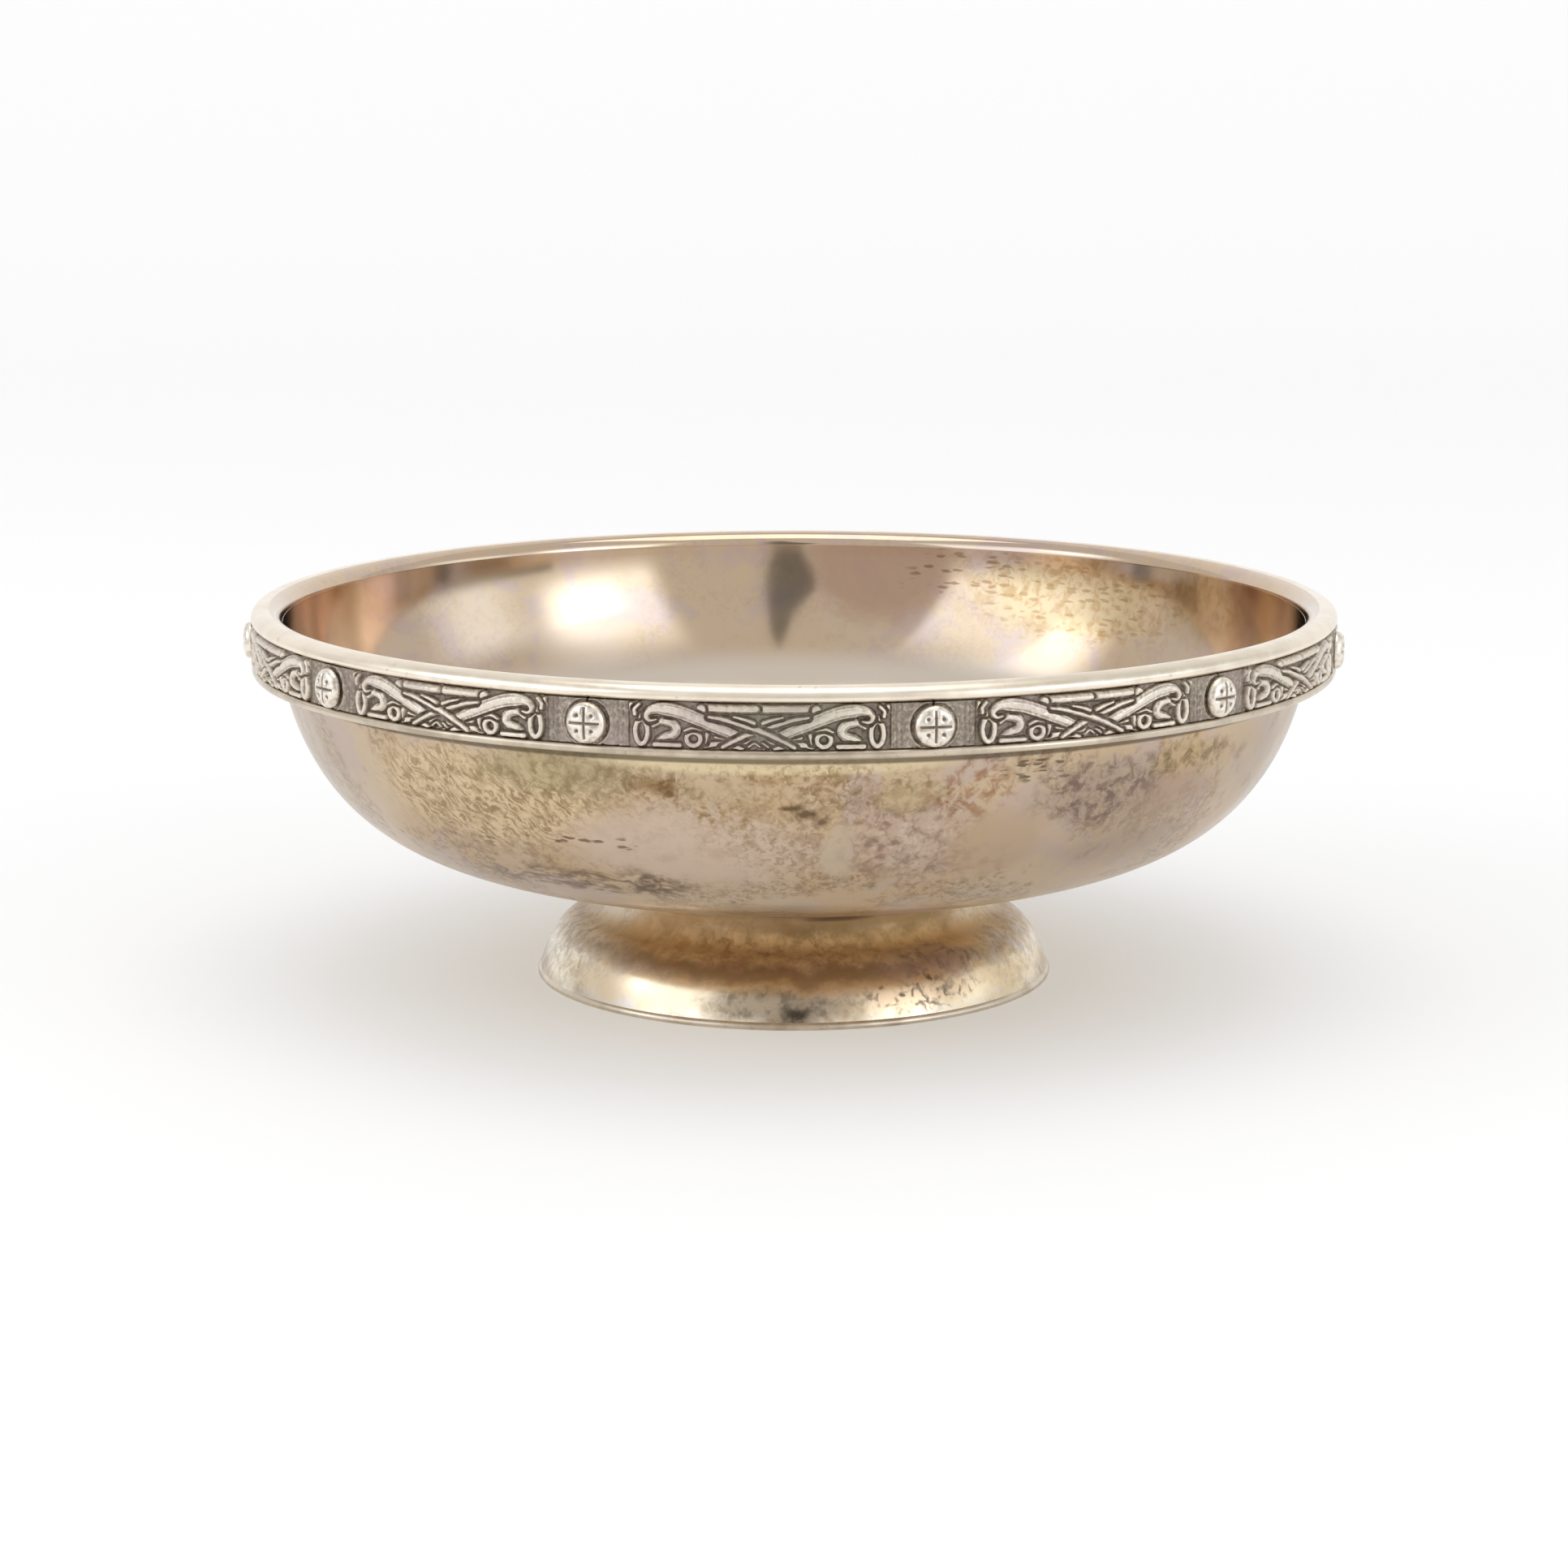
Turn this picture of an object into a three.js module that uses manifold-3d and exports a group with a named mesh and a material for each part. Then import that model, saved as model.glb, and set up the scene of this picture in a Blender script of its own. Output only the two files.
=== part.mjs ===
// A footed silver dish with an applied band of interlace, as the separate pieces it is soldered from.
// Millimetres, +Z up. The origin is the middle of the foot on the plane that it stands on.
// Angles round the axis start at the front (-Y) and grow towards +X.

import * as THREE from "three";
import { mergeVertices } from "three/addons/utils/BufferGeometryUtils.js";
import Module from "manifold-3d";

const wasm = await Module();
wasm.setup();

// Bowl
const bowlHeight = 34.5; // its flat seat on the foot to its lip
const bowlRadius = 71.1; // outside, where the wall would stand upright
const bowlUprightAboveLip = 5.9; // the wall still leans in a little at the lip
const bowlFall = 2.28; // a higher power keeps the side upright for longer
const bowlSwell = 4.98; // a higher power keeps the bottom flat for longer
const bowlWall = 1.2;

// Foot
const footHeight = 15.6; // table to the seat of the bowl
const footNeckRadius = 26.6;
const footShoulderRadius = 29.3; // where the hollow of the neck turns into the round shoulder
const footSpreadRadius = 35.3; // where the shoulder meets the foot wire
const footShoulderHeight = 8.7;
const footNeckTop = 13.5; // the neck rises straight from here
const footWall = 1.2;
const footWireHeight = 1.0;
const footWireOverhang = 0.4; // past the outside of the foot
const footWireWidth = 1.7;
const footWireRound = 0.3;
const seatMargin = 1.0; // flat of the bowl past the outside of the neck

// Rim
const rimWireHeight = 2.0;
const rimOverhang = 0.7; // past the ground of the ornament
const rimSetBack = 0.4; // from the inside of the lip

// Band
const repeatCount = 11; // panels, with one roundel between each two
const firstRoundelAngle = THREE.MathUtils.degToRad(-52.5);
const bandHeight = 5.7; // border wire to rim
const bandStandOff = 2.38; // from the outside of the lip to the ground of the ornament
const borderWireHeight = 1.0;
const borderOverhang = 0.7; // border wire past the ground
const borderRound = 0.4;
const plateThickness = 0.4;
const panelTopGap = 0.2; // dark line under the rim

// Ornament of a panel
const blockHeight = 0.35; // plain block at each end, above the ground
const blockLength = 5.1;
const reliefHeight = 0.75; // ribbons above the ground
const weaveDepth = 0.26; // how far a ribbon dips under another
const ribbonRoot = 0.3; // how deep a ribbon is rooted in its plate
const broadRibbonStart = 1.8;
const broadRibbonEnd = 1.1;
const thinRibbon = 0.95;
const curlRibbon = 0.8;
const curlRadius = 0.85;
const loopHalfWidth = 0.72;
const loopHalfHeight = 1.6;

// Roundels
const roundelRadius = 2.55;
const roundelRise = 1.9; // above the ground of the band
const roundelEdge = 0.8; // upright edge of the disc
const roundelBevel = 0.75;
const grooveWidth = 0.4;
const grooveDepth = 0.35;
const collarGap = 0.25; // round the head
const collarWidth = 0.4; // thin raised ring on the blocks
const collarHeight = 0.25;

// Fits and facets
const solderGap = 0.3; // between pieces that don't meet on flat faces
const facetsPerRepeat = 5;
const footFacets = 40;
const roundelFacets = 10;

const lipHeight = footHeight + bowlHeight;
const bandBottom = lipHeight - bandHeight;
const borderBottom = bandBottom - borderWireHeight;
const bandRadius = bowlOutside(lipHeight) + bandStandOff; // ground of the ornament
const repeatAngle = (2 * Math.PI) / repeatCount;
const panelHalfLength = (repeatAngle * bandRadius) / 2 - solderGap / 2;
const fieldHalfLength = panelHalfLength - blockLength;
const panelHalfHeight = (bandHeight - panelTopGap) / 2;
const panelMiddle = bandBottom + panelHalfHeight;

const silver = {
  bowl: new THREE.MeshStandardMaterial({ color: 0xb39f84, roughness: 0.32, metalness: 1 }),
  rim: new THREE.MeshStandardMaterial({ color: 0xe6dfd2, roughness: 0.22, metalness: 1 }),
  foot: new THREE.MeshStandardMaterial({ color: 0xab9474, roughness: 0.3, metalness: 1 }),
  band: new THREE.MeshStandardMaterial({ color: 0x857c74, roughness: 0.5, metalness: 1 }),
  panel: new THREE.MeshStandardMaterial({ color: 0xa69c90, roughness: 0.42, metalness: 1 }),
  roundel: new THREE.MeshStandardMaterial({ color: 0xd8cfc0, roughness: 0.25, metalness: 1 }),
};

// Spins a profile of [radius, height] points, outside going up, round the Z axis.
function spin(profile, facets, startAngle = 0) {
  const points = profile.map(([radius, height]) => new THREE.Vector2(radius, height));
  return new THREE.LatheGeometry(points, facets, startAngle).rotateX(Math.PI / 2);
}

function spinBand(profile) {
  return spin(profile, facetsPerRepeat * repeatCount, firstRoundelAngle);
}

// The same line moved to its left by a wall, with its two ends kept at their own heights.
function insideOf(line, wall) {
  return line.map(([radius, height], i) => {
    const before = line[Math.max(i - 1, 0)];
    const after = line[Math.min(i + 1, line.length - 1)];
    const along = new THREE.Vector2(after[0] - before[0], after[1] - before[1]).normalize();
    if (i === 0 && radius === 0) return [0, height + wall];
    if (i === 0 || i === line.length - 1) return [radius - wall, height];
    return [radius - wall * along.y, height + wall * along.x];
  });
}

// Radius of the outside of the bowl at a height.
function bowlOutside(height) {
  const upright = lipHeight + bowlUprightAboveLip;
  const drop = (upright - height) / (upright - footHeight);
  return bowlRadius * (1 - drop ** bowlFall) ** (1 / bowlSwell);
}

// Outside of the bowl, from the axis over its flat seat and up to the lip.
function bowlLine(steps) {
  const upright = lipHeight + bowlUprightAboveLip;
  const depth = upright - footHeight;
  const seatRadius = footNeckRadius + seatMargin;
  const startTurn = Math.asin(((seatRadius + 1.5) / bowlRadius) ** (bowlSwell / 2));
  const endTurn = Math.acos((bowlUprightAboveLip / depth) ** (bowlFall / 2));
  const line = [[0, footHeight], [seatRadius, footHeight]];
  for (let i = 0; i <= steps; i++) {
    const turn = THREE.MathUtils.lerp(startTurn, endTurn, (i / steps) ** 0.9);
    const radius = bowlRadius * Math.sin(turn) ** (2 / bowlSwell);
    const height = upright - depth * Math.cos(turn) ** (2 / bowlFall);
    line.push([radius, height]);
  }
  return line;
}

function makeBowl() {
  const outside = bowlLine(8);
  const inside = insideOf(bowlLine(6), bowlWall);
  return spinBand([...outside, ...inside.reverse()]);
}

// Half an oval lying on the lip.
function makeRimWire() {
  const inner = bowlOutside(lipHeight) - bowlWall + rimSetBack;
  const outer = bandRadius + rimOverhang;
  const steps = 6;
  const profile = [];
  for (let i = 0; i <= steps; i++) {
    const turn = (Math.PI * i) / steps;
    profile.push([
      (outer + inner) / 2 + ((outer - inner) / 2) * Math.cos(turn),
      lipHeight + rimWireHeight * Math.sin(turn),
    ]);
  }
  return spinBand([...profile, profile[0]]);
}

// The strip that carries the panels: it follows the bowl inside and stands upright outside.
function makeBandStrip() {
  const outer = bandRadius - plateThickness - solderGap;
  const start = [bowlOutside(bandBottom) + solderGap, bandBottom];
  return spinBand([
    start,
    [outer, bandBottom],
    [outer, lipHeight],
    [bowlOutside(lipHeight) + solderGap, lipHeight],
    start,
  ]);
}

function makeBorderWire() {
  const outer = bandRadius + borderOverhang;
  const inner = bowlOutside(bandBottom) + solderGap;
  return spinBand([
    [inner, borderBottom],
    [outer - borderRound, borderBottom],
    [outer, borderBottom + borderRound],
    [outer - borderRound / 2, bandBottom],
    [inner, bandBottom],
    [inner, borderBottom],
  ]);
}

// A trumpet foot: straight neck, hollow curve, round shoulder.
function makeFoot() {
  const shoulder = new THREE.QuadraticBezierCurve(
    new THREE.Vector2(footSpreadRadius, footWireHeight),
    new THREE.Vector2(footSpreadRadius - 1.7, footShoulderHeight - 1.3),
    new THREE.Vector2(footShoulderRadius, footShoulderHeight),
  );
  const hollow = new THREE.QuadraticBezierCurve(
    new THREE.Vector2(footShoulderRadius, footShoulderHeight),
    new THREE.Vector2(footNeckRadius, footShoulderHeight + 0.9),
    new THREE.Vector2(footNeckRadius, footNeckTop),
  );
  const line = (shoulderSteps, hollowSteps) => [
    ...shoulder.getPoints(shoulderSteps),
    ...hollow.getPoints(hollowSteps).slice(1),
    new THREE.Vector2(footNeckRadius, footHeight),
  ].map((point) => [point.x, point.y]);
  const outside = line(4, 4);
  const inside = insideOf(line(3, 2), footWall);
  return spin([...outside, ...inside.reverse(), outside[0]], footFacets);
}

function makeFootWire() {
  const outer = footSpreadRadius + footWireOverhang;
  const inner = outer - footWireWidth;
  return spin([
    [inner, 0],
    [outer - footWireRound, 0],
    [outer, footWireRound],
    [outer - footWireRound / 2, footWireHeight],
    [inner, footWireHeight],
    [inner, 0],
  ], footFacets);
}

// A closed solid of a three.js geometry, for joining and cutting.
function solidOf(geometry) {
  const bare = geometry.clone();
  bare.deleteAttribute("normal");
  bare.deleteAttribute("uv");
  const merged = mergeVertices(bare, 1e-4);
  return new wasm.Manifold(new wasm.Mesh({
    numProp: 3,
    vertProperties: merged.attributes.position.array,
    triVerts: new Uint32Array(merged.index.array),
  }));
}

function geometryOf(solid) {
  const mesh = solid.getMesh();
  const geometry = new THREE.BufferGeometry();
  geometry.setAttribute("position", new THREE.BufferAttribute(mesh.vertProperties, 3));
  geometry.setIndex(new THREE.BufferAttribute(mesh.triVerts, 1));
  geometry.computeVertexNormals();
  return geometry;
}

// Bends a flat panel round the band: along the band, up it, and out from its ground.
function bend(along, up, out) {
  const angle = along / bandRadius;
  const radius = bandRadius + out;
  return new THREE.Vector3(radius * Math.sin(angle), -radius * Math.cos(angle), panelMiddle + up);
}

// Skins a row of sections, alike in corners, into one closed solid. A closed row joins its last to its first.
function skin(sections, closed = false) {
  const corners = sections[0].length;
  const index = [];
  const spans = closed ? sections.length : sections.length - 1;
  for (let i = 0; i < spans; i++) {
    const here = i * corners;
    const next = ((i + 1) % sections.length) * corners;
    for (let j = 0; j < corners; j++) {
      const k = (j + 1) % corners;
      index.push(here + j, here + k, next + j);
      index.push(here + k, next + k, next + j);
    }
  }
  if (!closed) {
    const last = (sections.length - 1) * corners;
    for (let j = 2; j < corners; j++) {
      index.push(0, j, j - 1);
      index.push(last, last + j - 1, last + j);
    }
  }
  const geometry = new THREE.BufferGeometry().setFromPoints(sections.flat());
  geometry.setIndex(index);
  return solidOf(geometry);
}

// A length of plate from one place along the band to another, with facets that match the band.
function plate(from, to, bottom, top, inner, outer) {
  const facetLength = (repeatAngle * bandRadius) / facetsPerRepeat;
  const stops = [from];
  for (let stop = Math.ceil(from / facetLength + 0.05) * facetLength; stop < to - 0.05; stop += facetLength) {
    stops.push(stop);
  }
  stops.push(to);
  return skin(stops.map((along) => [
    bend(along, bottom, inner),
    bend(along, top, inner),
    bend(along, top, outer),
    bend(along, bottom, outer),
  ]));
}

// A ribbon with a ridge along its middle, through points of [along, up, height of the ridge].
function ribbon(points, startWidth, endWidth = startWidth, closed = false) {
  const last = points.length - 1;
  const sections = points.map(([along, up, ridge], i) => {
    const before = points[closed ? (i + last) % (last + 1) : Math.max(i - 1, 0)];
    const after = points[closed ? (i + 1) % (last + 1) : Math.min(i + 1, last)];
    const side = new THREE.Vector2(before[1] - after[1], after[0] - before[0]).normalize();
    const reach = THREE.MathUtils.lerp(startWidth, endWidth, i / last) / 2;
    return [
      bend(along - side.x * reach, up - side.y * reach, -ribbonRoot),
      bend(along + side.x * reach, up + side.y * reach, -ribbonRoot),
      bend(along, up, ridge),
    ];
  });
  return skin(sections, closed);
}

// A smooth line through marks, given as shares of the half length and half height of a field.
// The third number of a mark lifts (1) or lowers (-1) the ribbon where it crosses its mirror image.
function strand(side, marks, steps) {
  const curve = new THREE.CatmullRomCurve3(marks.map(([along, up, lift = 0]) => new THREE.Vector3(
    side * along * fieldHalfLength,
    up * panelHalfHeight,
    reliefHeight - (weaveDepth / 2) * (1 - side * lift),
  )));
  return curve.getSpacedPoints(steps).map((point) => [point.x, point.y, point.z]);
}

// Part of an oval round a mark, between two angles in degrees from the outer end of the field.
function oval(side, [along, up], halfWidth, halfHeight, from, to, steps) {
  const points = [];
  for (let i = 0; i <= steps; i++) {
    const turn = THREE.MathUtils.degToRad(THREE.MathUtils.lerp(from, to, i / steps));
    points.push([
      side * (along * fieldHalfLength + halfWidth * Math.cos(turn)),
      up * panelHalfHeight + halfHeight * Math.sin(turn),
      reliefHeight - weaveDepth / 2,
    ]);
  }
  return points;
}

// One half of the interlace. The other half is its mirror image, under where this one is over.
function halfInterlace(side) {
  const crook = strand(side, [[0.96, 0.5], [0.8, 0.76], [0.54, 0.47], [0.228, -0.16], [0.1, -0.5, 1], [0, -0.8]], 5);
  const crossing = strand(side, [[0.405, 0.76], [0, -0.2, 1], [-0.12, -0.46, -1], [-0.25, -0.78]], 3);
  const topBar = strand(side, [[0.42, 0.8], [0.04, 0.8]], 1);
  const leaf = strand(side, [[0.785, 0.36], [0.66, 0.2], [0.61, -0.15], [0.66, -0.5], [0.77, -0.42]], 3);
  const leafFoot = strand(side, [[0.775, -0.8], [0.62, -0.8]], 1);
  const curl = oval(side, [0.48, -0.45], curlRadius, curlRadius, -150, 120, 3);
  const loop = oval(side, [0.9, -0.27], loopHalfWidth, loopHalfHeight, 0, 288, 4);
  return [
    ribbon(crook, broadRibbonStart, broadRibbonEnd),
    ribbon(crossing, thinRibbon),
    ribbon(topBar, thinRibbon),
    ribbon(leaf, curlRibbon),
    ribbon(leafFoot, curlRibbon),
    ribbon(curl, curlRibbon),
    ribbon(loop, curlRibbon, curlRibbon, true),
  ];
}

// The block at one end of a panel, with its share of the raised ring round the roundel.
function endBlock(side) {
  const [from, to] = [side * panelHalfLength, side * fieldHalfLength].sort((a, b) => a - b);
  const block = plate(from, to, -panelHalfHeight, panelHalfHeight, -plateThickness, blockHeight);
  const collarRadius = roundelRadius + collarGap + collarWidth / 2;
  const reach = Math.asin((panelHalfHeight - collarWidth) / collarRadius);
  const middle = (repeatAngle * bandRadius) / 2;
  const points = [-1, 0, 1].map((share) => [
    side * (middle - collarRadius * Math.cos(share * reach)),
    collarRadius * Math.sin(share * reach),
    blockHeight + collarHeight,
  ]);
  return block.add(ribbon(points, collarWidth));
}

// A panel runs from under the middle of one roundel to under the middle of the next.
function makePanel() {
  const base = plate(-panelHalfLength, panelHalfLength, -panelHalfHeight, panelHalfHeight, -plateThickness, 0);
  const raised = [-1, 1].flatMap((side) => [...halfInterlace(side), endBlock(side)]);
  return geometryOf(raised.reduce((whole, part) => whole.add(part), base));
}

// A domed disc over the joint between two panels, cut with a cross.
function makeRoundel() {
  const back = blockHeight + solderGap;
  const disc = solidOf(spin([
    [0, back],
    [roundelRadius, back],
    [roundelRadius, back + roundelEdge],
    [roundelRadius - roundelBevel, roundelRise - 0.1],
    [0, roundelRise],
  ], roundelFacets));
  const groove = (width, length) => solidOf(
    new THREE.BoxGeometry(width, length, 2 * grooveDepth).translate(0, 0, roundelRise),
  );
  const longest = 3 * roundelRadius;
  return geometryOf(disc.subtract(groove(grooveWidth, longest)).subtract(groove(longest, grooveWidth)));
}

const dish = new THREE.Group();

function addPiece(name, geometry, material, parent = dish) {
  const mesh = new THREE.Mesh(geometry, material);
  mesh.name = name;
  parent.add(mesh);
  return mesh;
}

addPiece("bowl", makeBowl(), silver.bowl);
addPiece("rim_wire", makeRimWire(), silver.rim);
addPiece("band_strip", makeBandStrip(), silver.band);
addPiece("border_wire", makeBorderWire(), silver.rim);
addPiece("foot", makeFoot(), silver.foot);
addPiece("foot_wire", makeFootWire(), silver.rim);

const panelShape = makePanel();
const roundelShape = makeRoundel();
for (let i = 0; i < repeatCount; i++) {
  const number = String(i + 1).padStart(2, "0");
  const roundelTurn = new THREE.Group();
  roundelTurn.rotation.z = firstRoundelAngle + i * repeatAngle;
  const roundel = addPiece(`roundel_${number}`, roundelShape, silver.roundel, roundelTurn);
  roundel.position.set(0, -bandRadius, panelMiddle);
  roundel.rotation.x = Math.PI / 2;
  const panelTurn = new THREE.Group();
  panelTurn.rotation.z = firstRoundelAngle + (i + 0.5) * repeatAngle;
  addPiece(`interlace_panel_${number}`, panelShape, silver.panel, panelTurn);
  dish.add(roundelTurn, panelTurn);
}

export default dish;
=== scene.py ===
# A footed silver dish with a cast band of interlace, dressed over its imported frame.
import bmesh
import bpy
import math
import numpy as np
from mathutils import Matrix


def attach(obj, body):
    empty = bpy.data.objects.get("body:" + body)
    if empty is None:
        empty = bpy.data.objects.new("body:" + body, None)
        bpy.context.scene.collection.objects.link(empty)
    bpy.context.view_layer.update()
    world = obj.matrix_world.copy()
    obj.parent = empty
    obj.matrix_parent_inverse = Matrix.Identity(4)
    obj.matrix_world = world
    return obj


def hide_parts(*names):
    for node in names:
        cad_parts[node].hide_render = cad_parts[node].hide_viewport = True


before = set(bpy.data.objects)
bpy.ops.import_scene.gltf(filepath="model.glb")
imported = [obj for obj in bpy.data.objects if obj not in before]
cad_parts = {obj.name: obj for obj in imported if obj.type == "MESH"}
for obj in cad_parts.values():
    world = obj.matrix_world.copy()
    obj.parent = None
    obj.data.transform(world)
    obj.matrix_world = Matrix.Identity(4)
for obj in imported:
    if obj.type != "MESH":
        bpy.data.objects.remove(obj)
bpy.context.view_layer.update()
mm = 0.001

camera = {
    "place": (-0.00135, -0.52282, 0.12845),
    "pitchDown": 11.09,  # degrees
    "lens": 88.19,  # for a 36 mm sensor
}

dish = {
    "footHeight": 15.6,  # underside of the bowl
    "lip": 50.1,  # top of the bowl, under the rim
    "bowlRadius": 71.1,
    "uprightAboveLip": 5.9,  # the wall's curve would stand upright here
    "fall": 2.28,  # powers of that curve, down and across
    "swell": 4.98,
    "wall": 1.2,
    "lipRound": 0.1,
    "steps": (110, 100),  # points along the outside and the inside
    "turns": 256,  # facets round every turned piece
    "crease": 0.6,  # bends above this angle stay sharp
}

band = {
    "ground": 73.3,
    "bottom": 44.4,
    "repeats": 11,
    "firstRoundel": -52.5,  # degrees from the front
    "panelLow": -2.75,  # from the middle of the panels
    "panelHigh": 2.9,
    "jointGap": 0.3,
}

# Camera first

def placeCamera():
    data = bpy.data.cameras.new("photoCamera")
    data.lens = camera["lens"]
    data.sensor_width = 36
    data.clip_start = 0.01
    data.clip_end = 20
    item = bpy.data.objects.new("photoCamera", data)
    bpy.context.scene.collection.objects.link(item)
    item.location = camera["place"]
    item.rotation_euler = (math.radians(90 - camera["pitchDown"]), 0, 0)
    bpy.context.scene.camera = item


placeCamera()
print("camera placed")

# Node helpers

def feed(tree, value, socket):
    if isinstance(value, bpy.types.NodeSocket):
        tree.links.new(value, socket)
    else:
        socket.default_value = value


def addNode(tree, kind, settings=None, **values):
    node = tree.nodes.new(kind)
    for name, value in values.items():
        setattr(node, name, value)
    for name, value in (settings or {}).items():
        feed(tree, value, node.inputs[name])
    return node


def join(tree, out, into):
    tree.links.new(out, into)


def mathNode(tree, operation, first, second=0.0, third=0.0):
    node = addNode(tree, "ShaderNodeMath", {0: first, 1: second, 2: third}, operation=operation)
    return node.outputs[0]


def ramp(tree, value, low, high, start=0.0, end=1.0):
    settings = {"Value": value, "From Min": low, "From Max": high, "To Min": start, "To Max": end}
    node = addNode(tree, "ShaderNodeMapRange", settings, interpolation_type="SMOOTHSTEP")
    return node.outputs[0]


def blend(tree, share, under, over):
    node = addNode(tree, "ShaderNodeMix", {0: share, 6: under, 7: over}, data_type="RGBA")
    return node.outputs[2]


def noise(tree, spot, scale, detail=2.0, roughness=0.5, distortion=0.0):
    settings = {"Vector": spot, "Scale": scale, "Detail": detail, "Roughness": roughness,
                "Distortion": distortion}
    return addNode(tree, "ShaderNodeTexNoise", settings)


def stretch(tree, spot, scale):
    return addNode(tree, "ShaderNodeVectorMath", {0: spot, 1: scale}, operation="MULTIPLY").outputs[0]


def shapeNode(tree, kind, geometry, settings=None, **values):
    node = addNode(tree, kind, {"Geometry": geometry, **(settings or {})}, **values)
    return node.outputs["Geometry"]


def noiseValue(tree, spot, scale, detail=2.0, roughness=0.5, distortion=0.0):
    return noise(tree, spot, scale, detail, roughness, distortion).outputs["Fac"]


def attribute(tree, name):
    return addNode(tree, "ShaderNodeAttribute", attribute_name=name).outputs["Fac"]


def paint(code):
    channels = [int(code[i:i + 2], 16) / 255 for i in (0, 2, 4)]
    return tuple((c / 12.92 if c < 0.04 else ((c + 0.055) / 1.055) ** 2.4) for c in channels) + (1.0,)


# Shader groups shared by the metals. Places are in millimetres

def startGroup(name, inputs, outputs):
    tree = bpy.data.node_groups.new(name, "ShaderNodeTree")
    kinds = {"value": "NodeSocketFloat", "vector": "NodeSocketVector", "color": "NodeSocketColor"}
    for label, (kind, value) in inputs.items():
        socket = tree.interface.new_socket(name=label, in_out="INPUT", socket_type=kinds[kind])
        if value is not None:
            socket.default_value = value
    for label, kind in outputs.items():
        tree.interface.new_socket(name=label, in_out="OUTPUT", socket_type=kinds[kind])
    return tree, addNode(tree, "NodeGroupInput").outputs, addNode(tree, "NodeGroupOutput").inputs


def group(tree, kind, settings):
    node = addNode(tree, "ShaderNodeGroup", None, node_tree=kind)
    for name, value in settings.items():
        feed(tree, value, node.inputs[name])
    return node.outputs


def makePlaceGroup():
    inputs = {"Warp": ("value", 2.0), "Warp Scale": ("value", 0.12)}
    tree, given, result = startGroup("dishPlace", inputs, {
        "Spot": "vector", "Angle": "value", "Run": "value", "Level": "value"})
    place = addNode(tree, "ShaderNodeTexCoord")
    spot = addNode(tree, "ShaderNodeVectorMath", {0: place.outputs["Object"], 3: 1000.0}, operation="SCALE")
    split = addNode(tree, "ShaderNodeSeparateXYZ", {0: spot.outputs[0]})
    toward = mathNode(tree, "MULTIPLY", split.outputs["Y"], -1.0)
    angle = mathNode(tree, "MULTIPLY", mathNode(tree, "ARCTAN2", split.outputs["X"], toward), 180 / math.pi)
    run = attribute(tree, "run")
    wander = noise(tree, spot.outputs[0], given["Warp Scale"], 4.0, 0.62)
    shift = addNode(tree, "ShaderNodeSeparateColor", {0: wander.outputs["Color"]})
    sideways = mathNode(tree, "MULTIPLY", mathNode(tree, "SUBTRACT", shift.outputs[0], 0.5), given["Warp"])
    upwards = mathNode(tree, "MULTIPLY", mathNode(tree, "SUBTRACT", shift.outputs[1], 0.5), given["Warp"])
    join(tree, spot.outputs[0], result["Spot"])
    join(tree, mathNode(tree, "ADD", angle, sideways), result["Angle"])
    join(tree, mathNode(tree, "ADD", run, upwards), result["Run"])
    join(tree, run, result["Level"])
    return tree


def makePatchGroup():
    inputs = {
        "Angle": ("value", 0.0), "Run": ("value", 0.0),
        "Middle Angle": ("value", 0.0), "Middle Run": ("value", 0.0),
        "Half Angle": ("value", 5.0), "Half Run": ("value", 5.0),
        "Softness": ("value", 0.3),
    }
    tree, given, result = startGroup("stainOrPaintedLightPatch", inputs, {"Mask": "value"})
    off = mathNode(tree, "SUBTRACT", given["Angle"], given["Middle Angle"])
    off = mathNode(tree, "WRAP", off, 180.0, -180.0)
    across = mathNode(tree, "DIVIDE", off, given["Half Angle"])
    along = mathNode(tree, "SUBTRACT", given["Run"], given["Middle Run"])
    along = mathNode(tree, "DIVIDE", along, given["Half Run"])
    across = mathNode(tree, "MULTIPLY", across, across)
    along = mathNode(tree, "MULTIPLY", along, along)
    reach = mathNode(tree, "SQRT", mathNode(tree, "ADD", across, along))
    inner = mathNode(tree, "SUBTRACT", 1.0, given["Softness"])
    outer = mathNode(tree, "ADD", 1.0, given["Softness"])
    join(tree, ramp(tree, reach, inner, outer, 1.0, 0.0), result["Mask"])
    return tree


def makeWormGroup():
    inputs = {"Spot": ("vector", None), "Scale": ("value", 0.5), "Width": ("value", 0.03),
              "Broken": ("value", 0.5)}
    tree, given, result = startGroup("wormLines", inputs, {"Mask": "value"})
    lines = noiseValue(tree, given["Spot"], given["Scale"], 1.5, 0.55, 0.8)
    off = mathNode(tree, "ABSOLUTE", mathNode(tree, "SUBTRACT", lines, 0.5))
    line = ramp(tree, off, 0.0, given["Width"], 1.0, 0.0)
    gaps = noiseValue(tree, given["Spot"], mathNode(tree, "MULTIPLY", given["Scale"], 1.7), 2.0, 0.6)
    kept = ramp(tree, gaps, given["Broken"], mathNode(tree, "ADD", given["Broken"], 0.22))
    join(tree, mathNode(tree, "MULTIPLY", line, kept), result["Mask"])
    return tree


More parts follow.
